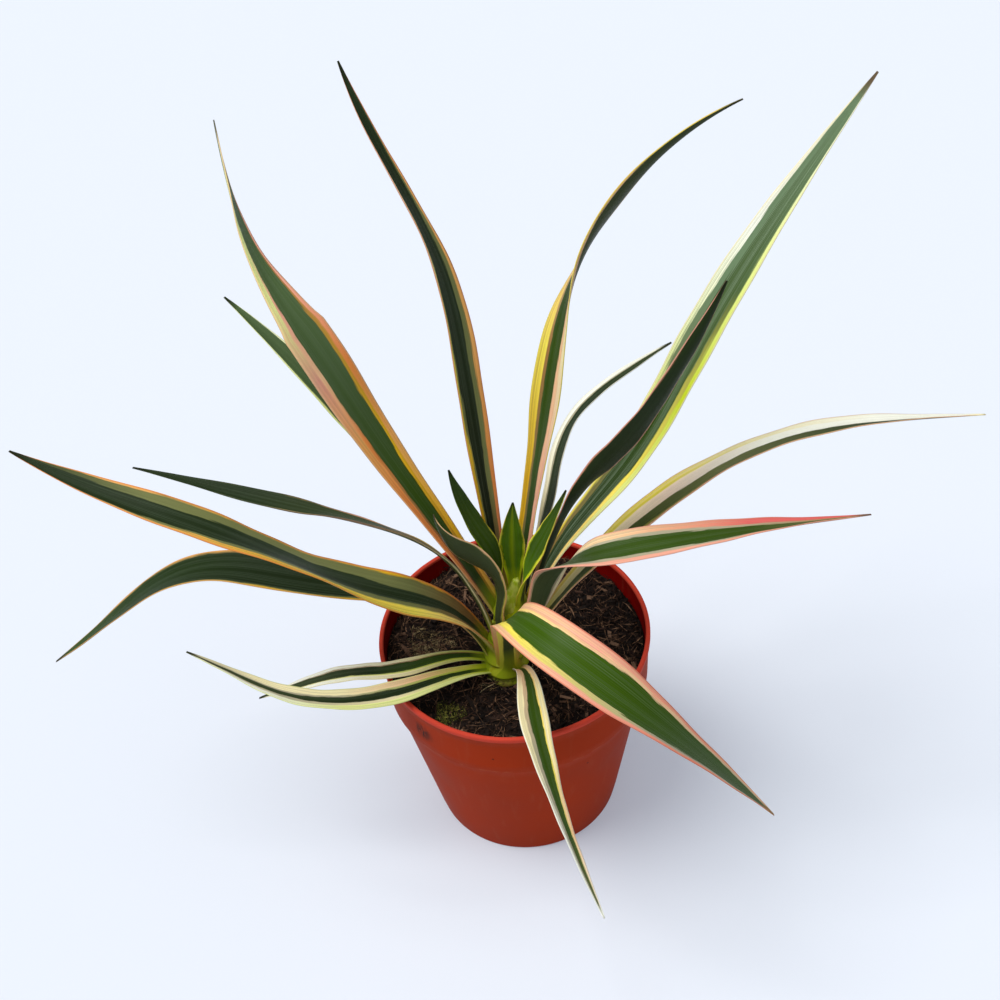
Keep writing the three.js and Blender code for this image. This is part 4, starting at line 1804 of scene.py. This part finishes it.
LEAVES = [
    Leaf(
        "leaf_far_left", turn=-165, up=20, length=254, width=24, belly=0.42, wave=1.2, waves=2.5,
        heading=(-164, -153, -183, -200, -212), rise=(71, 44, 38, 14, 10), roll=(0, -30, 27, -15, 0),
        finish=LeafFinish(
            core=(T.DARK_GREEN, T.DARK_GREEN),
            left=Margin(
                (0.32, 0.4, 0.32, 0.1, 0.05), (T.PEACH, T.YELLOW, T.GOLD, T.APRICOT, T.APRICOT),
                (T.RUST, T.OLIVE, T.OLIVE, T.OLIVE, T.DARK_GREEN), 0.3,
            ),
            right=Margin(
                (0.32, 0.34, 0.22, 0.32, 0.08), (T.ORANGE, T.GOLD, T.GOLD, T.APRICOT, T.APRICOT),
                (T.RUST, T.OLIVE, T.OLIVE, T.OLIVE, T.DARK_GREEN), 0.78,
            ),
            edge=T.ORANGE, edge_width=0.05,
        ),
    ),
    Leaf(
        "leaf_left_drooping", turn=170, up=13, length=254, width=21, belly=0.5, wave=0.6, waves=2,
        heading=(168, 182, 162, 184, 165), rise=(73, 24, 0, -36, -41), roll=(0, -8, 0, 8, 0),
        finish=LeafFinish(
            core=(T.OLIVE, T.DARK_GREEN, T.DARK_GREEN, T.DEEP_GREEN, T.GREEN),
            left=Margin(
                (0.16, 0.1, 0.06, 0.02, 0.02), (T.CREAM, T.GOLD, T.GOLD, T.DARK_GREEN, T.DARK_GREEN),
                (T.OLIVE, T.OLIVE),
            ),
            right=Margin(
                (0.28, 0.14, 0.09, 0.06, 0.03), (T.SALMON, T.PEACH, T.APRICOT, T.APRICOT, T.GREEN),
                (T.RUST, T.OLIVE),
            ),
            edge=T.APRICOT,
        ),
    ),
    Leaf(
        "leaf_left_thin", turn=186, up=29, length=203, width=9.5, belly=0.6, wave=0.5, waves=2,
        heading=(184, 190, 167, 164, 156), rise=(80, 63, 15, 11, 2), roll=(0, 22, 30, -8, 10),
        finish=LeafFinish(
            core=(T.OLIVE, T.DARK_GREEN, T.SLATE_GREEN, T.DARK_GREEN, T.DARK_GREEN),
            left=Margin(
                (0.25, 0.18, 0.12, 0.03, 0.02), (T.CREAM, T.CREAM, T.PINK, T.DARK_GREEN, T.DARK_GREEN),
                (T.OLIVE, T.OLIVE),
            ),
            right=Margin(
                (0.35, 0.28, 0.1, 0.03, 0.02), (T.SALMON, T.YELLOW, T.PINK, T.DARK_GREEN, T.DARK_GREEN),
                (T.RUST, T.OLIVE),
            ),
            edge=T.SLATE_GREEN,
        ),
    ),
    Leaf(
        "leaf_upper_left", turn=148, up=36, length=277, width=22, belly=0.58, wave=0.7, waves=2,
        taper=0.6,
        heading=(153, 146, 146, 109, 98), rise=(64, 56, 60, 17, 28), roll=(0, -8, -15, 48, 100),
        finish=LeafFinish(
            # Far along the core, the grey-green and the pale green are painted sheen.
            core=(T.DEEP_GREEN, T.GREEN, T.GREY_GREEN, T.GREY_GREEN, T.PALE_GREEN),
            left=Margin(
                (0.3, 0.3, 0.3, 0.26, 0.12),
                (
                    T.PEACH, T.ORANGE, T.ORANGE, T.APRICOT, T.PINK,
                    T.LIME_CREAM, T.LIME_CREAM, T.LIME_CREAM, T.WHITE,
                ),
                (T.RUST, T.RUST, T.TAN, T.ORANGE, T.PEACH, T.PINK, T.LIME_CREAM, T.LIME_CREAM, T.GREY),
                0.25,
            ),
            right=Margin(
                (0.28, 0.24, 0.2, 0.14, 0.1),
                (T.APRICOT, T.GOLD, T.APRICOT, T.ORANGE, T.PINK, T.PINK, T.LIME_CREAM),
                (T.RUST, T.GOLD, T.TAN, T.GREY_GREEN), 0.3,
            ),
            edge=T.PEACH, tip=T.SLATE_GREEN,
        ),
    ),
    Leaf(
        "leaf_upper_left_behind", turn=122, up=30, length=197, width=13, belly=0.6, wave=0.5, waves=2,
        heading=(133, 145, 138, 138, 135), rise=(55, 50, 43, 30, 20), roll=(0, 5, 8, 0, 0),
        finish=LeafFinish(
            core=(T.DARK_GREEN, T.DARK_GREEN, T.GREY_GREEN, T.GREY_GREEN, T.GREY_GREEN),
            left=Margin(
                (0.2, 0.16, 0.12, 0.1, 0.05), (T.LIME, T.LIME_CREAM, T.LIME_CREAM, T.WHITE),
                (T.OLIVE, T.GREY_GREEN),
            ),
            right=Margin(
                (0.2, 0.16, 0.16, 0.14, 0.05), (T.YELLOW, T.LIME_CREAM, T.LIME_CREAM, T.WHITE),
                (T.OLIVE, T.GREY_GREEN),
            ),
            edge=T.LIME_CREAM,
        ),
    ),
    Leaf(
        "leaf_back_left", turn=112, up=41, length=254, width=14, belly=0.55, wave=0.6, waves=2,
        heading=(112, 103, 103, 132, 114), rise=(77, 77, 69, 54, 47), roll=(0, 0, 28, 28, -10),
        finish=LeafFinish(
            core=(T.BLACK_GREEN, T.BLACK_GREEN, T.DARK_GREEN, T.DARK_GREEN, T.DARK_GREEN),
            left=Margin(
                (0.28, 0.22, 0.1, 0.1, 0.05), (T.GOLD, T.GOLD, T.YELLOW, T.CREAM, T.CREAM),
                (T.OLIVE, T.OLIVE), 0.3,
            ),
            right=Margin(
                (0.38, 0.38, 0.34, 0.22, 0.1), (T.SALMON, T.ORANGE, T.APRICOT, T.APRICOT, T.SALMON),
                (T.RUST, T.OLIVE, T.OLIVE, T.OLIVE, T.DARK_GREEN), 0.5,
            ),
            edge=T.SALMON,
        ),
    ),
    Leaf(
        "leaf_back_right", turn=66, up=37, length=263, width=16, belly=0.45, wave=0.6, waves=2,
        heading=(62, 30, 46, 30, 0), rise=(69, 78, 70, 39, 23), roll=(0, 0, -12, -75, -60),
        finish=LeafFinish(
            core=(T.DEEP_GREEN, T.GREEN, T.GREEN, T.DARK_GREEN, T.DARK_GREEN),
            left=Margin(
                (0.32, 0.36, 0.36, 0.08, 0.04), (T.GOLD, T.GOLD, T.YELLOW, T.PINK, T.PINK),
                (T.OLIVE, T.TAN, T.CREAM), 0.25,
            ),
            right=Margin(
                (0.36, 0.32, 0.26, 0.06, 0.03), (T.PINK, T.PINK, T.CREAM, T.SALMON, T.SALMON),
                (T.PINK, T.PEACH, T.PEACH), 0.4,
            ),
            edge=T.YELLOW,
        ),
    ),
    Leaf(
        "leaf_behind_right", turn=48, up=20, length=166, width=10, belly=0.6, wave=0.4, waves=2,
        heading=(48, 39, 68, 27, 28), rise=(75, 68, 40, 22, 7), roll=(0, -25, -40, -12, 5),
        finish=LeafFinish(
            core=(T.DARK_GREEN, T.SLATE_GREEN, T.DARK_GREEN, T.SLATE_GREEN),
            left=Margin(
                (0.2, 0.25, 0.35, 0.38, 0.3), (T.LIME, T.CREAM, T.WHITE, T.WHITE), (T.GREY, T.GREY),
                0.25,
            ),
            right=Margin(
                (0.1, 0.08, 0.05, 0.04, 0.02), (T.LIME, T.YELLOW, T.WHITE, T.WHITE), (T.GREY, T.GREY),
            ),
            edge=T.WHITE,
        ),
    ),
    Leaf(
        "leaf_upper_right", turn=18, up=30, length=289, width=20, belly=0.55, wave=0.8, waves=2.5,
        heading=(18, -1, 16, 27, 25), rise=(74, 55, 63, 48, 45), roll=(0, 18, 12, 5, 20),
        finish=LeafFinish(
            # In the far half, the grey-green and pale green of the core and of the margins' inner bands
            # are painted sheen, as are its strong pale lines.
            core=(T.DEEP_GREEN, T.DEEP_GREEN, T.GREEN, T.GREY_GREEN, T.PALE_GREEN),
            left=Margin(
                (0.28, 0.22, 0.24, 0.36, 0.24), (T.GOLD, T.YELLOW, T.LIME_CREAM, T.WHITE, T.CREAM),
                (T.TAN, T.OLIVE, T.PALE_GREEN, T.PALE_GREEN), 0.5,
            ),
            right=Margin(
                (0.32, 0.28, 0.28, 0.26, 0.16), (T.PEACH, T.LIME_CREAM, T.LIME, T.LIME_CREAM, T.WHITE),
                (T.PEACH, T.YELLOW, T.GREY_GREEN, T.PALE_GREEN), 0.4,
            ),
            edge=T.CREAM, tip=T.BROWN, sheen=0.6,
        ),
    ),
    Leaf(
        "leaf_right_turned", turn=-20, up=40, length=204, width=10, belly=0.65, wave=1.1, waves=2.5,
        heading=(-20, -4, -33, 3, 28), rise=(79, 70, 58, 60, 60), roll=(0, -45, -55, -85, -110),
        finish=LeafFinish(
            core=(T.GREEN, T.DARK_GREEN, T.DARK_GREEN, T.DARK_GREEN),
            left=Margin(
                (0.3, 0.08, 0.05, 0.05, 0.04), (T.PEACH, T.PINK, T.PINK, T.PINK), (T.TAN, T.DARK_GREEN),
            ),
            right=Margin(
                (0.3, 0.08, 0.05, 0.05, 0.04), (T.LIME, T.PINK, T.PINK, T.PINK), (T.TAN, T.DARK_GREEN),
            ),
            under=T.DARK_GREEN, edge=T.PINK,
        ),
    ),
    Leaf(
        "leaf_right_long", turn=8, up=16, length=252, width=15, belly=0.42, wave=1.0, waves=2.5,
        heading=(11, 12, 6, 1, 15), rise=(62, 41, 28, 0, -17), roll=(0, 0, 0, -12, -15),
        finish=LeafFinish(
            core=(T.OLIVE, T.GREEN, T.OLIVE, T.SLATE_GREEN, T.SLATE_GREEN),
            left=Margin(
                (0.44, 0.52, 0.54, 0.62, 0.62),
                (T.PEACH, T.YELLOW, T.YELLOW, T.CREAM, T.WHITE, T.WHITE),
                (T.YELLOW, T.CREAM, T.BLUSH, T.WHITE, T.WHITE, T.WHITE), 0.6,
            ),
            right=Margin(
                (0.24, 0.14, 0.1, 0.06, 0.04), (T.PINK, T.PINK), (T.YELLOW, T.OLIVE, T.OLIVE), 0.4,
            ),
            under=T.SLATE_GREEN, edge=T.PEACH, tip=T.CREAM,
        ),
    ),
    Leaf(
        "leaf_right_folding", turn=-38, up=25, length=207, width=17, belly=0.5, wave=1.0, waves=2.5,
        heading=(-34, -50, 1, 2, 6), rise=(72, 68, 7, -1, -4), roll=(0, -45, 12, -12, -25),
        finish=LeafFinish(
            core=(T.GREY_GREEN, T.SLATE_GREEN, T.GREEN, T.GREEN, T.OLIVE),
            left=Margin(
                (0.22, 0.2, 0.28, 0.38, 0.45), (T.RUST, T.CREAM, T.PEACH, T.ROSE, T.ROSE),
                (T.RUST, T.GREY, T.GREY, T.TAN),
            ),
            right=Margin(
                (0.14, 0.14, 0.24, 0.14, 0.2), (T.PINK, T.PINK, T.PINK, T.SALMON),
                (T.TAN, T.GREY, T.GREY, T.TAN), 0.35,
            ),
            edge=T.PINK, tip=T.BROWN,
        ),
    ),
    Leaf(
        "leaf_lower_right", turn=-90, up=14, length=233, width=25, belly=0.58, wave=0.9, waves=2,
        heading=(-88, -78, -38, -15, -6), rise=(84, 52, -20, -48, -53), roll=(0, 20, 10, -6, -15),
        finish=LeafFinish(
            # The grey-green at the far end of the core is painted sheen.
            core=(T.GREEN, T.BRIGHT_GREEN, T.BRIGHT_GREEN, T.GREEN, T.GREY_GREEN),
            left=Margin(
                (0.28, 0.28, 0.2, 0.14, 0.22), (T.APRICOT, T.PEACH, T.PINK, T.SALMON, T.PEACH),
                (T.YELLOW, T.PEACH, T.GREY), 0.3,
            ),
            right=Margin(
                (0.28, 0.3, 0.2, 0.16, 0.26), (T.ORANGE, T.PEACH, T.PINK, T.SALMON, T.PEACH),
                (T.YELLOW, T.YELLOW, T.GREY, T.GREY), 0.45,
            ),
            edge=T.SALMON, tip=T.TAN,
        ),
    ),
    Leaf(
        "leaf_front", turn=-63, up=9, length=149, width=13, belly=0.4, wave=0.4, waves=2,
        heading=(-72, -89, -82, -74, -65), rise=(52, 18, -8, -21, -38), roll=(0, 0, -25, -40, -40),
        finish=LeafFinish(
            core=(T.DARK_GREEN, T.GREEN, T.GREEN, T.GREEN, T.OLIVE),
            left=Margin(
                (0.32, 0.28, 0.22, 0.24, 0.25), (T.PINK, T.CREAM, T.CREAM, T.PEACH, T.WHITE),
                (T.PEACH, T.YELLOW, T.GREY), 0.2,
            ),
            right=Margin(
                (0.36, 0.38, 0.38, 0.42, 0.4), (T.PINK, T.CREAM, T.CREAM, T.WHITE, T.WHITE),
                (T.PEACH, T.GREY, T.GREY), 0.35,
            ),
            edge=T.WHITE, tip=T.WHITE,
        ),
    ),
    Leaf(
        "leaf_low_left_back", turn=175, up=8, length=114, width=10, belly=0.5, wave=0.4, waves=2,
        heading=(182, 199, 174, 180, 169), rise=(24, 8, -4, -16, -28), roll=(-15, -30, 0, -8, 0),
        finish=LeafFinish(
            core=(T.GREEN, T.GREEN, T.DARK_GREEN, T.SLATE_GREEN, T.SLATE_GREEN),
            left=Margin(
                (0.34, 0.34, 0.34, 0.3, 0.2), (T.LIME, T.CREAM, T.WHITE, T.WHITE), (T.LIME, T.CREAM),
                0.2,
            ),
            right=Margin(
                (0.22, 0.22, 0.22, 0.24, 0.1), (T.LIME, T.CREAM, T.WHITE, T.WHITE), (T.TAN, T.GREY),
                0.2,
            ),
            edge=T.CREAM,
        ),
    ),
    Leaf(
        "leaf_low_left_front", turn=-152, up=6, length=151, width=13, belly=0.45, wave=0.5, waves=2,
        heading=(-150, -156, -182, -206, -202), rise=(32, 10, 5, 11, 21), roll=(-10, -20, 5, 15, 15),
        finish=LeafFinish(
            core=(T.GREEN, T.DARK_GREEN, T.DARK_GREEN, T.SLATE_GREEN, T.SLATE_GREEN),
            left=Margin(
                (0.38, 0.38, 0.4, 0.36, 0.28),
                (T.LIME_CREAM, T.LIME_CREAM, T.LIME_CREAM, T.WHITE, T.WHITE),
                (T.LIME, T.CREAM, T.GREY, T.CREAM), 0.35,
            ),
            right=Margin(
                (0.34, 0.34, 0.34, 0.4, 0.3), (T.LIME, T.PEACH, T.CREAM, T.CREAM, T.GREY),
                (T.LIME, T.GREY, T.GREY), 0.2,
            ),
            edge=T.LIME_CREAM,
        ),
    ),
    Leaf(
        "heart_leaf_left", turn=158, up=46, length=75, width=11, belly=0.5, wave=0.3, waves=1.5,
        heading=(168, 172, 155, 144, 122), rise=(90, 90, 62, 67, 66), roll=(0, -25, -10, -10, -30),
        finish=LeafFinish(
            core=(T.GREEN, T.GREEN, T.GREEN, T.DEEP_GREEN),
            left=Margin((0.14, 0.12, 0.08, 0.04, 0.02), (T.LIME, T.LIME, T.GREEN), (T.GREEN, T.GREEN)),
            right=Margin(
                (0.2, 0.16, 0.08, 0.04, 0.02), (T.LIME, T.YELLOW, T.GREEN), (T.GREEN, T.GREEN),
            ),
            edge=T.GREEN,
        ),
    ),
    Leaf(
        "heart_leaf_middle", turn=84, up=48, length=51, width=12, belly=0.5, wave=0.3, waves=1.5,
        heading=(82, 48, 39, 24, 10), rise=(87, 89, 86, 85, 83), roll=(0, 36, 45, 60, 70),
        finish=LeafFinish(
            core=(T.LIME, T.HEART_GREEN, T.HEART_GREEN, T.HEART_GREEN, T.GREEN),
            left=Margin(
                (0.2, 0.16, 0.12, 0.08, 0.03), (T.LIME, T.LIME, T.YELLOW, T.GREEN), (T.LIME, T.GREEN),
            ),
            right=Margin(
                (0.16, 0.14, 0.1, 0.06, 0.03), (T.LIME, T.LIME, T.YELLOW, T.GREEN), (T.LIME, T.GREEN),
            ),
            edge=T.YELLOW, stripe=0.35,
        ),
    ),
    Leaf(
        "heart_leaf_right", turn=-66, up=48, length=77, width=10, belly=0.5, wave=0.3, waves=1.5,
        heading=(-66, -30, -12, -4, 14), rise=(83, 76, 67, 67, 68), roll=(0, 25, 35, 25, 10),
        finish=LeafFinish(
            core=(T.LIME, T.HEART_GREEN, T.BRIGHT_GREEN, T.BRIGHT_GREEN, T.DEEP_GREEN),
            left=Margin(
                (0.2, 0.14, 0.1, 0.06, 0.02), (T.LIME, T.LIME, T.YELLOW, T.GREEN), (T.LIME, T.GREEN),
            ),
            right=Margin(
                (0.26, 0.22, 0.14, 0.08, 0.02), (T.LIME, T.LIME, T.YELLOW, T.GREEN), (T.LIME, T.GREEN),
            ),
            edge=T.YELLOW,
        ),
    ),
    Leaf(
        "heart_leaf_turned", turn=-128, up=33, length=81, width=13, belly=0.6, wave=0.4, waves=1.5,
        heading=(-134, -182, -184, -182, -262), rise=(81, 99, 62, 48, 48), roll=(0, 20, 50, 85, 95),
        finish=LeafFinish(
            core=(T.SLATE_GREEN, T.SLATE_GREEN, T.SLATE_GREEN, T.DARK_GREEN),
            left=Margin(
                (0.2, 0.12, 0.06, 0.05, 0.02), (T.YELLOW, T.YELLOW, T.PINK, T.SLATE_GREEN),
                (T.OLIVE, T.OLIVE),
            ),
            right=Margin(
                (0.2, 0.12, 0.06, 0.05, 0.02), (T.YELLOW, T.YELLOW, T.PINK, T.SLATE_GREEN),
                (T.OLIVE, T.OLIVE),
            ),
            edge=T.PEACH,
        ),
    ),
]

LITTER = [
    Litter(
        "soil_crumbs", Shape.LUMP,
        EarthFinish("crumb_peat", (16, 10, 7), (38, 25, 17), (76, 54, 38)),
        seed=11, density=420000.0, short=0.5, long=2.6, thick=1.0, tilt=3.1, lift=0.9,
        bend=0.6, bend_scale=900.0,
    ),
    Litter(
        "soil_fibres", Shape.FIBRE,
        EarthFinish("fibre_peat", (24, 14, 10), (62, 40, 28), (140, 106, 80)),
        seed=31, density=430000.0, short=3.0, long=15.0, thick=0.38, tilt=0.45, lift=2.2,
        bend=7.0, bend_scale=110.0,
    ),
    Litter(
        "soil_slivers", Shape.SLIVER,
        EarthFinish("bark_peat", (26, 17, 12), (66, 44, 33), (128, 98, 76)),
        seed=57, density=34000.0, short=3.0, long=12.0, thick=1.5, tilt=0.4, lift=1.6,
        bend=3.0, bend_scale=120.0,
    ),
    Litter(
        "moss_tuft", Shape.FIBRE,
        EarthFinish("moss_green", (38, 40, 12), (96, 98, 34), (170, 164, 80)),
        seed=71, density=6000000.0, short=1.0, long=3.4, thick=0.3, tilt=1.2, lift=2.2,
        bend=2.4, bend_scale=260.0, tone_power=1.2, disc=Disc((-34.0, -38.0), 7.0),
    ),
    Litter(
        "dry_moss", Shape.FIBRE,
        EarthFinish("dry_moss_brown", (60, 47, 30), (128, 106, 72), (190, 170, 126)),
        seed=83, density=3600000.0, short=1.0, long=4.5, thick=0.32, tilt=0.8, lift=1.5,
        bend=2.8, bend_scale=240.0, tone_power=0.7, disc=Disc((-42.0, 6.0), 11.0),
    ),
    Litter(
        "stem_threads", Shape.FIBRE,
        EarthFinish("thread_straw", (70, 52, 32), (150, 124, 86), (214, 196, 150)),
        seed=97, density=260000.0, short=3.0, long=9.0, thick=0.26, tilt=0.9, lift=2.6,
        bend=5.0, bend_scale=150.0, tone_power=1.0, slot=Slot.STEM, disc=Disc((-6.0, -14.0), 14.0),
    ),
]


def main() -> None:
    """Builds the studio, the pot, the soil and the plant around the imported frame."""
    logging.basicConfig(level=logging.INFO, format="%(name)s %(message)s")
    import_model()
    Studio().build()
    pot = Pot()
    pot.build()
    soil = Soil(pot)
    soil.build()
    for litter in LITTER:
        litter.build(soil)
    stem = Stem(soil.top)
    stem.build()
    for leaf in LEAVES:
        leaf.build(stem)


if __name__ == "__main__":
    main()
